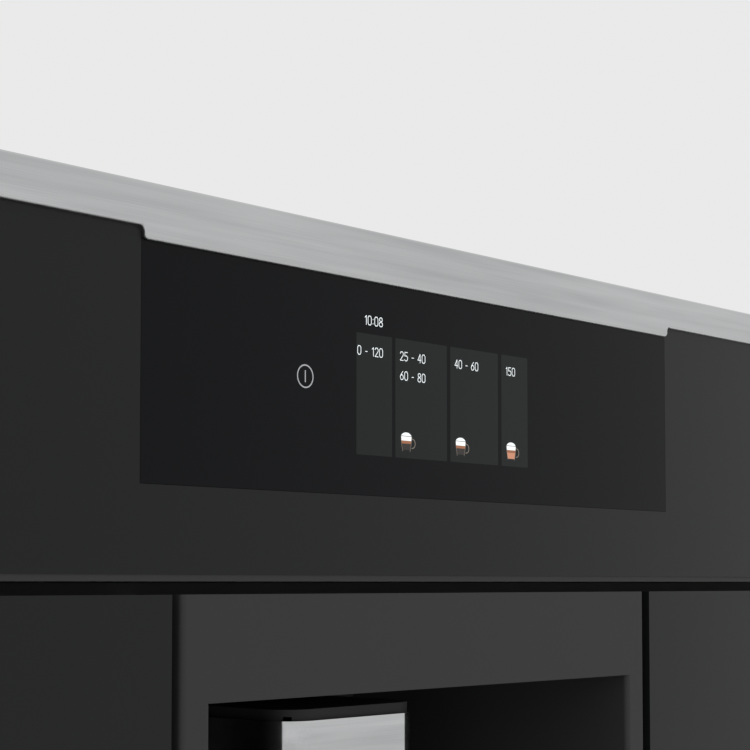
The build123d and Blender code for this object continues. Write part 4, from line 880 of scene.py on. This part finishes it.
@dataclass(frozen=True)
class SheetMetal:
    """Screws, stamped ribs, louvre lips and a blank data plate on the sheet metal covers."""

    screw_inset: float = 12.0 * MM
    top_screw_share: float = 0.18
    rib_height: float = 0.8 * MM
    rib_bevel: float = 0.64 * MM
    rib_inset: float = 50.0 * MM
    rib_width: float = 10.0 * MM
    side_rib_shares: tuple[float, ...] = (0.12, 0.36)
    top_rib_lefts: tuple[float, ...] = (60.0 * MM, 130.0 * MM, 200.0 * MM)
    top_rib_front: float = -130.0 * MM
    rear_rib_right: float = -20.0 * MM
    rear_rib_insets: tuple[float, float] = (75.0 * MM, 63.0 * MM)
    vent_rows: int = 6
    vent_bottom: float = 270.0 * MM
    vent_pitch: float = 12.0 * MM
    side_vent: tuple[float, float] = (60.0 * MM, 180.0 * MM)
    rear_vent: tuple[float, float] = (80.0 * MM, 200.0 * MM)
    lip_reach: float = 3.0 * MM
    lip_rise: tuple[float, float] = (4.0 * MM, 3.0 * MM)
    lip_wall: tuple[float, float] = (0.6 * MM, 0.7 * MM)
    lip_taper: float = 12.0 * MM
    lip_blunt: float = 0.25
    plate_low: tuple[float, float] = (-150.0 * MM, 155.0 * MM)
    plate_high: tuple[float, float] = (-70.0 * MM, 205.0 * MM)
    plate_radius: float = 3.0 * MM
    plate_thickness: float = 0.5 * MM
    plate_bevel: float = 0.2 * MM
    rivet_inset: float = 4.0 * MM
    rivet_foot: float = 0.4 * MM
    rivet_size: tuple[float, float] = (1.1 * MM, 0.7 * MM)

    def build(self) -> None:
        """Make all sheet metal details."""
        self.screws()
        self.ribs()
        self.louvres()
        self.data_plate()

    def screws(self) -> None:
        """Screw heads along the covers' edges."""
        sides, top, shape = Box.of("side_panels"), Box.of("top_cover"), Shape()
        inset = self.screw_inset
        for side, plane in sides.walls:
            for depth in (sides.low.y + inset, sides.middle.y, sides.high.y - inset):
                for height in (sides.low.z + inset, sides.high.z - inset):
                    shape.screw_head((plane, depth, height), "X", side)
        for side in (-1, 1):
            across = side * self.top_screw_share * (top.high.x - top.low.x)
            shape.screw_head((across, top.high.y - inset, top.high.z), "Z", 1)
        shape.build("cover_edge_screws", SCREW, "chassis")

    def ribs(self) -> None:
        """Long stamped ribs that stiffen the covers."""
        sides, top, shape = Box.of("side_panels"), Box.of("top_cover"), Shape()
        inset, width, radius, bevel = self.rib_inset, self.rib_width, self.rib_width / 2, self.rib_bevel
        for side, plane in sides.walls:
            for share in self.side_rib_shares:
                low = sides.low.z + share * (sides.high.z - sides.low.z)
                shape.pad((sides.low.y + inset, low), (sides.high.y - inset, low + width), radius, "X", plane,
                          plane + side * self.rib_height, bevel)
        spans = [((left, self.top_rib_front), (left + width, top.high.y - inset)) for left in self.top_rib_lefts]
        near, far = (top.high.y - reach for reach in self.rear_rib_insets)
        spans.append(((top.low.x + inset, near), (self.rear_rib_right, far)))
        for low, high in spans:
            shape.pad(low, high, radius, "Z", top.high.z, top.high.z + self.rib_height, bevel)
        shape.build("stamped_ribs", GALVANISED, "chassis")

    def louvres(self) -> None:
        """Lips bent out of the side vents and into the rear vents."""
        sides, rear, shape = Box.of("side_panels"), Box.of("rear_cover"), Shape()
        for height in self.vent_bottom + self.vent_pitch * np.arange(self.vent_rows):
            for side, plane in sides.walls:
                self.lip(shape, "X", plane, side, self.side_vent, height)
            self.lip(shape, "Y", rear.low.y, -1, self.rear_vent, height)
        shape.build("louvre_lips", GALVANISED, "chassis")

    def lip(self, shape: Shape, axis: str, plane: float, side: float, span: tuple[float, float],
            height: float) -> None:
        """Add one louvre lip above a vent slot: a quarter round section that tapers to both ends.

        Args:
            shape: shape that takes it.
            axis: "X" or "Y", the axis across the cover.
            plane: place of the cover on that axis.
            side: +1 or -1, the way the lip reaches.
            span: where the lip starts and ends along the slot.
            height: z of the slot.
        """
        turn = rays(np.linspace(0.0, math.pi / 2, 7))
        outer = turn[:, ::-1] * (self.lip_reach, self.lip_rise[1]) + (0.0, self.lip_rise[0])
        inner = (outer[::-1] - self.lip_wall).clip(0.0)
        reach, rise = np.concatenate([outer, inner]).T
        along = np.linspace(*span, 9)[:, None]
        taper = np.minimum(1.0, self.lip_blunt + np.minimum(along - span[0], span[1] - along) / self.lip_taper)
        across = plane + side * reach * taper
        along = along + np.zeros_like(across)
        order = (across, along) if axis == "X" else (along, across)
        shape.add_rings(np.stack([*order, height + rise + np.zeros_like(across)], -1))

    def data_plate(self) -> None:
        """Blank metal plate riveted to the left side cover."""
        shape = Shape()
        face, (left, bottom), (right, top) = Box.of("side_panels").low.x, self.plate_low, self.plate_high
        shape.pad(self.plate_low, self.plate_high, self.plate_radius, "X", face, face - self.plate_thickness,
                  self.plate_bevel)
        for height in (bottom + self.rivet_inset, top - self.rivet_inset):
            for depth in (left + self.rivet_inset, right - self.rivet_inset):
                shape.screw_head((face - self.rivet_foot, depth, height), "X", -1, *self.rivet_size)
        shape.build("blank_data_plate", ZINC_RAIL, "chassis")


# ------------------------------------------------------------------ fittings in and round the machine


@dataclass(frozen=True)
class DoorFittings:
    """Bumpers of the two moving fronts, catch discs on the steel frame, and a dark strip of painted shade on the
    frame.

    The profiles are radius and place along the axis, in millimetres.
    """

    bumper_inset: float = 9.0 * MM
    bumper_ends: float = 28.0 * MM
    bumper_sink: float = 0.2 * MM
    bumper_profile: tuple[Point, ...] = ((2.6, 0.0), (2.6, 0.6), (2.2, 1.1), (1.2, 1.4), (0.05, 1.5))
    disc_places: tuple[tuple[float, float], ...] = ((-0.1365, 0.12), (-0.1365, 0.20), (0.1365, 0.12), (0.1365, 0.20))
    disc_profile: tuple[Point, ...] = ((4.5, 0.0), (4.5, -0.5), (4.0, -0.8), (0.05, -0.8))
    shade_strip_inset: float = 6.0 * MM
    shade_strip_lap: float = 1.6 * MM
    shade_strip_gap: float = 0.1 * MM
    shade_strip_thickness: float = 2.2 * MM
    shade_strip_radius: float = 0.8 * MM
    shade_strip_bevel: float = 0.5 * MM

    def build(self) -> None:
        """Make the fittings on the moving fronts and their counterparts on the steel frame."""
        self.bumpers("door", Box.of("door_liner"))
        self.bumpers("tank", Box.of("tank_front"))
        self.catch_discs()
        self.gap_painted_shade()

    def bumpers(self, body: str, box: Box) -> None:
        """Soft bumpers on the back of a front's moulding, beside its right edge.

        Args:
            body: body that they ride on.
            box: box of the moulding.
        """
        back = Box.of("door_liner").high.y - self.bumper_sink
        shape = Shape()
        for height in (box.low.z + self.bumper_ends, box.high.z - self.bumper_ends):
            place = (box.high.x - self.bumper_inset, back, height)
            shape.lathe(np.array(self.bumper_profile) * MM, place, "Y", 20)
        shape.build(f"{body}_bumpers", SEAL, body)

    def catch_discs(self) -> None:
        """Steel discs on the frame, behind the inner edge of each front."""
        steel = Box.of("front_frame")
        shape = Shape()
        for across, height in self.disc_places:
            shape.lathe(np.array(self.disc_profile) * MM, (across, steel.low.y, height), "Y", 28)
        shape.build("catch_discs", ZINC_RAIL, "chassis")

    def gap_painted_shade(self) -> None:
        """Dark strip on the frame, behind the gap under the control fascia: painted shade that keeps the gap dark,
        in the rubber finish of a foam seal.
        """
        steel = Box.of("front_frame")
        top, bottom = Box.of("fascia_carrier").low.z, Box.of("service_door").high.z
        shape = Shape()
        shape.pad((steel.low.x + self.shade_strip_inset, bottom - self.shade_strip_lap),
                  (steel.high.x - self.shade_strip_inset, top - self.shade_strip_gap), self.shade_strip_radius, "Y", steel.low.y,
                  steel.low.y - self.shade_strip_thickness, self.shade_strip_bevel)
        # painted shade: this dark strip stands in for the shade in the gap under the fascia
        shape.build("fascia_gap_painted_shade", SEAL, "chassis")


@dataclass(frozen=True)
class TankMarks:
    """Raised level marks and moulded ribs on the water tank."""

    mark_front: float = -55.0 * MM
    levels: int = 9
    first_level: float = 14.4 * MM
    level_pitch: float = 18.0 * MM
    mark_lengths: tuple[float, float] = (16.0 * MM, 9.0 * MM)
    long_mark_every: int = 4
    mark_section: RibSection = RibSection(1.0 * MM, 0.35 * MM, 0.1 * MM)
    rib_fronts: tuple[float, ...] = (-55.0 * MM, -5.0 * MM)
    rib_width: float = 8.0 * MM
    rib_radius: float = 3.0 * MM
    rib_bevel: float = 0.6 * MM
    rib_inset: float = 14.0 * MM
    rib_bottom: float = 232.0 * MM
    rib_top: float = 234.5 * MM

    def build(self) -> None:
        """Make the marks on the tank's left side and the ribs on its top."""
        box = Box.of("water_tank")
        marks = Shape()
        for step in range(self.levels):
            height = box.low.z + self.first_level + step * self.level_pitch
            length = self.mark_lengths[0 if step % self.long_mark_every == 0 else 1]
            marks.rib((self.mark_front, height), (self.mark_front + length, height), self.mark_section, "X",
                      box.low.x, -1)
        marks.build("tank_level_marks", GREY_MOULDING, "tank")
        ribs = Shape()
        for front in self.rib_fronts:
            ribs.pad((box.low.x + self.rib_inset, front), (box.high.x - self.rib_inset, front + self.rib_width),
                     self.rib_radius, "Z", self.rib_bottom, self.rib_top, self.rib_bevel)
        ribs.build("tank_top_ribs", CLEAR_TANK, "tank")


@dataclass(frozen=True)
class TopFittings:
    """Marks round the grind knob, its pointer, and the bean sign on the lid."""

    mark_count: int = 11
    mark_circle: float = 22.5 * MM
    pointer_reach: tuple[float, float] = (3.0 * MM, 13.0 * MM)
    pointer_section: RibSection = RibSection(1.8 * MM, 0.6 * MM, 0.2 * MM)
    bean_width: float = 9.0 * MM
    bean_length: float = 13.0 * MM
    bean_bend: float = 1.8 * MM
    bean_gap: float = 0.6 * MM
    bean_relief: float = 0.5 * MM
    bean_bevel: float = 0.2 * MM
    sink: float = 0.1 * MM

    def build(self) -> None:
        """Make the fittings on and round the top cover."""
        self.knob_marks()
        self.bean_sign()
        self.knob_pointer()

    def knob_marks(self) -> None:
        """Arc of dots that grow from fine to coarse round the knob."""
        knob, top = Box.of("grind_knob"), Box.of("top_cover").high.z
        shape = Shape()
        for number in range(self.mark_count):
            angle = math.radians(240.0 - 30.0 * number)
            place = (knob.middle.x + self.mark_circle * math.cos(angle),
                     knob.middle.y + self.mark_circle * math.sin(angle), top)
            radius = (0.7 + 0.12 * number) * MM
            shape.lathe([(radius, 0.0), (radius, 0.2 * MM), (0.5 * radius, 0.3 * MM), (0.02 * radius, 0.3 * MM)],
                        place, "Z", 18)
        shape.build("grind_marks", PANEL_PRINT, "chassis")

    def knob_pointer(self) -> None:
        """Raised pointer on the knob."""
        knob, shape = Box.of("grind_knob"), Shape()
        first, last = ((knob.middle.x, knob.middle.y + reach) for reach in self.pointer_reach)
        shape.rib(first, last, self.pointer_section, "Z", knob.high.z - self.sink, 1)
        shape.build("knob_pointer", PANEL_PRINT, "knob")

    def bean_sign(self) -> None:
        """Raised picture of a bean on the lid: half an ellipse on each side of a seam that is a sine wave."""
        lid = Box.of("bean_lid")
        rim = rays(np.radians(np.linspace(-84.0, 84.0, 25))) * (self.bean_width, self.bean_length)
        seam = self.bean_bend * np.sin(math.pi * rim[::-1, 1] / self.bean_length)
        halves = Shape()
        for side in (1, -1):
            edge = np.stack([seam + side * self.bean_gap, rim[::-1, 1]], axis=1)
            outline = np.concatenate([rim * (side, 1.0), edge])[::side]
            halves.plate(outline + (lid.middle.x, lid.middle.y), "Z", lid.high.z - self.sink,
                         lid.high.z + self.bean_relief, self.bean_bevel)
        halves.build("bean_sign", KNOB, "bean_cover")


@dataclass(frozen=True)
class Lead:
    """One wire or sleeved loom: its radius, the steps round it and the points that it passes."""

    radius: float
    segments: int
    corners: tuple[Point, ...]

    def path(self, steps: int = 14) -> np.ndarray:
        """Catmull-Rom curve through the corners: a cubic in t between each two of them.

        Args:
            steps: points made for each stretch.

        Returns:
            Points of the curve, one row each.
        """
        points = np.array(self.corners, float)
        padded = np.vstack([2 * points[0] - points[1], points, 2 * points[-1] - points[-2]])
        t = np.linspace(0.0, 1.0, steps, endpoint=False)[:, None]
        stretches = [0.5 * (2 * start + (end - before) * t + (2 * before - 5 * start + 4 * end - after) * t ** 2
                            + (3 * start - before - 3 * end + after) * t ** 3)
                     for before, start, end, after in zip(padded, padded[1:], padded[2:], padded[3:])]
        return np.vstack([*stretches, points[-1]])


@dataclass(frozen=True)
class Wiring:
    """Cable looms, heater wires, an earth lead and hose clips inside the chassis."""

    red: Finish = Finish("wire_red", "red_plastic", (0.32, 0.02, 0.016), (0.4, 0.03, 0.02), (0.35, 0.45),
                         Detail.POLISHED)
    sleeve: Finish = Finish("loom_sleeve", "inlet_plastic", (0.012, 0.012, 0.013), (0.022, 0.022, 0.024),
                            (0.45, 0.6), Detail.TURNED, bump=0.5, bump_depth=0.0002)
    earth: Finish = Finish("wire_earth", "gear_plastic", (0.20, 0.30, 0.02), (0.34, 0.38, 0.03), (0.35, 0.45),
                           Detail.POLISHED)
    looms: tuple[Lead, ...] = (
        Lead(3.2 * MM, 14, ((-0.235, 0.13, 0.205), (-0.19, 0.17, 0.215), (-0.10, 0.19, 0.200), (0.02, 0.20, 0.195),
                            (0.12, 0.20, 0.19), (0.19, 0.16, 0.165))),
        Lead(2.8 * MM, 14, ((-0.245, 0.12, 0.222), (-0.25, 0.04, 0.27), (-0.255, -0.04, 0.31),
                            (-0.262, -0.14, 0.345), (-0.24, -0.192, 0.37), (-0.12, -0.195, 0.40))))
    heater_leads: tuple[Lead, ...] = (
        Lead(1.1 * MM, 10, ((-0.24, 0.10, 0.105), (-0.2, 0.12, 0.12), (-0.12, 0.13, 0.175), (-0.03, 0.145, 0.178))),
        Lead(1.1 * MM, 10, ((-0.24, 0.12, 0.105), (-0.16, 0.17, 0.14), (-0.02, 0.2, 0.182), (0.07, 0.16, 0.178))))
    earth_lead: tuple[Lead, ...] = (
        Lead(1.2 * MM, 10, ((-0.215, 0.205, 0.088), (-0.24, 0.18, 0.06), (-0.25, 0.12, 0.045),
                            (-0.255, 0.03, 0.041))),)
    earth_screw: tuple[float, float, float] = (-0.255, 0.026, 0.0356)
    earth_screw_size: tuple[float, float] = (3.0 * MM, 2.4 * MM)
    clip_places: tuple[tuple[str, Point], ...] = (
        ("Z", (0.200, 0.130, 0.158)), ("Z", (0.070, 0.150, 0.166)), ("Z", (-0.030, 0.150, 0.166)),
        ("Y", (-0.080, -0.062, 0.225)))
    clip_radius: float = 4.6 * MM
    clip_wire: float = 0.6 * MM
    clip_pitch: float = 1.4 * MM

    def build(self) -> None:
        """Make the looms, wires and clips."""
        self.run(self.looms).build("cable_looms", self.sleeve, "chassis")
        self.run(self.heater_leads).build("heater_wires", self.red, "chassis")
        earth = self.run(self.earth_lead)
        earth.screw_head(self.earth_screw, "Z", 1, *self.earth_screw_size)
        earth.build("earth_lead", self.earth, "chassis")
        self.clips()

    def run(self, leads: Sequence[Lead]) -> Shape:
        """Gather the tubes of some leads.

        Args:
            leads: the wires or looms.

        Returns:
            The shape that holds them.
        """
        shape = Shape()
        for lead in leads:
            shape.tube(lead.path(), lead.radius, lead.segments)
        return shape

    def clips(self) -> None:
        """Spring clips, three rings each, where hoses meet the fittings of pump and heaters."""
        turn = rays(np.linspace(0.0, 2 * math.pi, 32, endpoint=False)) * self.clip_radius
        shape = Shape()
        for axis, place in self.clip_places:
            for shift in (-self.clip_pitch, 0.0, self.clip_pitch):
                shape.tube(lift(turn, axis, shift) + np.array(place), self.clip_wire, 8, closed=True)
        shape.build("hose_clips", SPINDLE, "chassis")


@dataclass(frozen=True)
class NicheDetails:
    """Grip ribs of the grounds container and shallow ribs on the niche's side walls."""

    grip_rows: int = 4
    grip_first: float = 14.0 * MM
    grip_pitch: float = 6.0 * MM
    grip_half: float = 30.0 * MM
    grip_section: RibSection = RibSection(1.6 * MM, 0.7 * MM, 0.25 * MM)
    wall_x: float = 113.0 * MM
    wall_levels: tuple[float, ...] = (170.0 * MM, 180.0 * MM, 190.0 * MM)
    wall_front: float = -190.0 * MM
    wall_rear_inset: float = 20.0 * MM
    wall_section: RibSection = RibSection(1.4 * MM, 0.5 * MM, 0.2 * MM)

    def build(self) -> None:
        """Make the grip ribs and the wall ribs."""
        box = Box.of("grounds_container")
        grip = Shape()
        for row in range(self.grip_rows):
            height = box.low.z + self.grip_first + row * self.grip_pitch
            grip.rib((-self.grip_half, height), (self.grip_half, height), self.grip_section, "Y", box.low.y, -1)
        grip.build("grounds_grip_ribs", GREY_MOULDING, "grounds")
        rear = Box.of("niche_liner").high.y - self.wall_rear_inset
        walls = Shape()
        for side in (-1, 1):
            for height in self.wall_levels:
                walls.rib((self.wall_front, height), (rear, height), self.wall_section, "X", side * self.wall_x,
                          -side)
        walls.build("niche_wall_ribs", BLACK_MOULDING, "chassis")


@dataclass(frozen=True)
class BrewDetails:
    """Stiffening ribs of the brewing unit, its lever's grip and the gear motor's cover screws."""

    rib_heights: tuple[float, float] = (95.0 * MM, 135.0 * MM)
    rib_count: int = 5
    rib_insets: tuple[float, float] = (30.0 * MM, 10.0 * MM)
    rib_section: RibSection = RibSection(1.6 * MM, 0.8 * MM, 0.3 * MM)
    grip_rows: int = 5
    grip_first: float = 10.0 * MM
    grip_pitch: float = 5.0 * MM
    grip_half: float = 14.0 * MM
    grip_depth: float = 5.5 * MM
    grip_section: RibSection = RibSection(1.8 * MM, 0.7 * MM, 0.25 * MM)
    motor_front: float = -110.0 * MM
    screw_insets: tuple[float, ...] = (6.0 * MM, 44.0 * MM)
    screw_heights: tuple[float, ...] = (68.0 * MM, 102.0 * MM)
    screw_size: tuple[float, float] = (2.2 * MM, 1.2 * MM)

    def build(self) -> None:
        """Make the details that show when the service door is open."""
        unit, lever, motor = Box.of("brew_frame"), Box.of("release_lever"), Box.of("brew_gearmotor")
        near, far = unit.low.y + self.rib_insets[0], unit.high.y - self.rib_insets[1]
        ribs = Shape()
        for height in unit.low.z + np.linspace(*self.rib_heights, self.rib_count):
            ribs.rib((near, height), (far, height), self.rib_section, "X", unit.high.x, 1)
        ribs.build("brew_frame_ribs", BREW_PLASTIC, "chassis")
        grip = Shape()
        for row in range(self.grip_rows):
            height = lever.low.z + self.grip_first + row * self.grip_pitch
            grip.rib((lever.middle.x - self.grip_half, height), (lever.middle.x + self.grip_half, height),
                     self.grip_section, "Y", lever.low.y + self.grip_depth, -1)
        grip.build("lever_grip_ribs", RED, "lever")
        screws = Shape()
        for inset in self.screw_insets:
            for height in self.screw_heights:
                screws.screw_head((motor.low.x + inset, self.motor_front, height), "Y", -1, *self.screw_size)
        screws.build("gearbox_screws", SCREW, "chassis")


# ------------------------------------------------------------------ studio


@dataclass(frozen=True)
class StudioLight:
    """One soft rectangular lamp."""

    name: str
    place: tuple[float, float, float]
    target: tuple[float, float, float]
    size: tuple[float, float]
    power: float

    def build(self) -> None:
        """Add the lamp to the scene, turned to its target."""
        lamp = bpy.data.lights.new(self.name, "AREA")
        lamp.shape = "RECTANGLE"
        lamp.size, lamp.size_y = self.size
        lamp.energy = self.power
        obj = bpy.data.objects.new(self.name, lamp)
        obj.location = self.place
        direction = Vector(self.target) - Vector(self.place)
        obj.rotation_euler = direction.to_track_quat("-Z", "Y").to_euler()
        obj.visible_camera = False
        obj.visible_glossy = False
        bpy.context.scene.collection.objects.link(obj)


@dataclass(frozen=True)
class Studio:
    """Camera, pale floor, background and lamps."""

    eye: tuple[float, float, float] = (-0.4900, -0.6326, 0.3369)
    turn: tuple[float, float, float] = (93.071, 0.0, -48.498)
    lens: float = 86.36
    shift: float = 0.148
    pale: float = 0.76
    ambient: float = 0.85
    backdrop: float = 0.82
    floor_fade: tuple[float, float] = (0.75, 1.6)
    lamps: tuple[StudioLight, ...] = (
        StudioLight("top_soft_box", (0.1, -0.3, 1.9), (0.0, 0.0, 0.3), (1.8, 1.4), 9.0),
        StudioLight("front_soft_box", (-1.2, -2.0, 1.2), (0.0, 0.0, 0.2), (1.4, 1.0), 7.0),
        StudioLight("rear_soft_box", (0.8, 2.0, 1.4), (0.0, 0.0, 0.2), (1.6, 1.2), 8.0))

    def build(self) -> None:
        """Set the whole studio up."""
        self.camera()
        self.floor()
        self.world()
        for lamp in self.lamps:
            lamp.build()
        bpy.context.scene.view_settings.view_transform = "Standard"

    def camera(self) -> None:
        """Camera solved from the photograph."""
        data = bpy.data.cameras.new("camera")
        data.sensor_width = 36.0
        data.lens = self.lens
        data.shift_y = self.shift
        data.clip_start = 0.01
        obj = bpy.data.objects.new("camera", data)
        obj.location = self.eye
        obj.rotation_euler = tuple(math.radians(angle) for angle in self.turn)
        bpy.context.scene.collection.objects.link(obj)
        bpy.context.scene.camera = obj

    def floor(self) -> None:
        """Plain pale floor under the part, whose alpha falls with the distance so that it fades out."""
        size = self.floor_fade[1]
        mesh = bpy.data.meshes.new("floor")
        mesh.from_pydata([(-size, -size, 0), (size, -size, 0), (size, size, 0), (-size, size, 0)], [],
                         [(0, 1, 2, 3)])
        obj = bpy.data.objects.new("floor", mesh)
        bpy.context.scene.collection.objects.link(obj)
        material = bpy.data.materials.new("pale_floor")
        material.use_nodes = True
        tree = material.node_tree
        shader = tree.nodes["Principled BSDF"]
        shader.inputs["Base Color"].default_value = (self.pale, self.pale, self.pale, 1.0)
        shader.inputs["Roughness"].default_value = 0.7
        place = tree.nodes.new("ShaderNodeTexCoord")
        reach = tree.nodes.new("ShaderNodeVectorMath")
        reach.operation = "LENGTH"
        tree.links.new(place.outputs["Object"], reach.inputs[0])
        fade = tree.nodes.new("ShaderNodeMapRange")
        fade.interpolation_type = "SMOOTHSTEP"
        for label, value in (("From Min", self.floor_fade[0]), ("From Max", self.floor_fade[1]), ("To Min", 1.0),
                             ("To Max", 0.0)):
            fade.inputs[label].default_value = value
        tree.links.new(reach.outputs["Value"], fade.inputs["Value"])
        tree.links.new(fade.outputs["Result"], shader.inputs["Alpha"])
        mesh.materials.append(material)

    def world(self) -> None:
        """Pale background for the camera, reflections and clear pieces, and even light for the rest."""
        world = bpy.data.worlds.new("studio")
        bpy.context.scene.world = world
        world.use_nodes = True
        tree = world.node_tree
        path = tree.nodes.new("ShaderNodeLightPath")
        seen = math_node(tree, "MAXIMUM", path.outputs["Is Camera Ray"], path.outputs["Is Glossy Ray"])
        seen = math_node(tree, "MAXIMUM", seen, path.outputs["Is Transmission Ray"])
        mix = tree.nodes.new("ShaderNodeMix")
        mix.data_type = "RGBA"
        mix.inputs["A"].default_value = (self.ambient, self.ambient, self.ambient, 1.0)
        mix.inputs["B"].default_value = (self.backdrop, self.backdrop, self.backdrop, 1.0)
        tree.links.new(seen, mix.inputs["Factor"])
        tree.links.new(mix.outputs["Result"], tree.nodes["Background"].inputs["Color"])
        tree.nodes["Background"].inputs["Strength"].default_value = 1.0


def main() -> None:
    """Build the looks."""
    dress_cad_nodes()
    for assembly in (ScreenContents(), SheetMetal(), DoorFittings(), TankMarks(), TopFittings(), Wiring(),
                     NicheDetails(), BrewDetails(), Studio()):
        assembly.build()
        log.info("built %s", type(assembly).__name__)


if __name__ == "__main__":
    main()
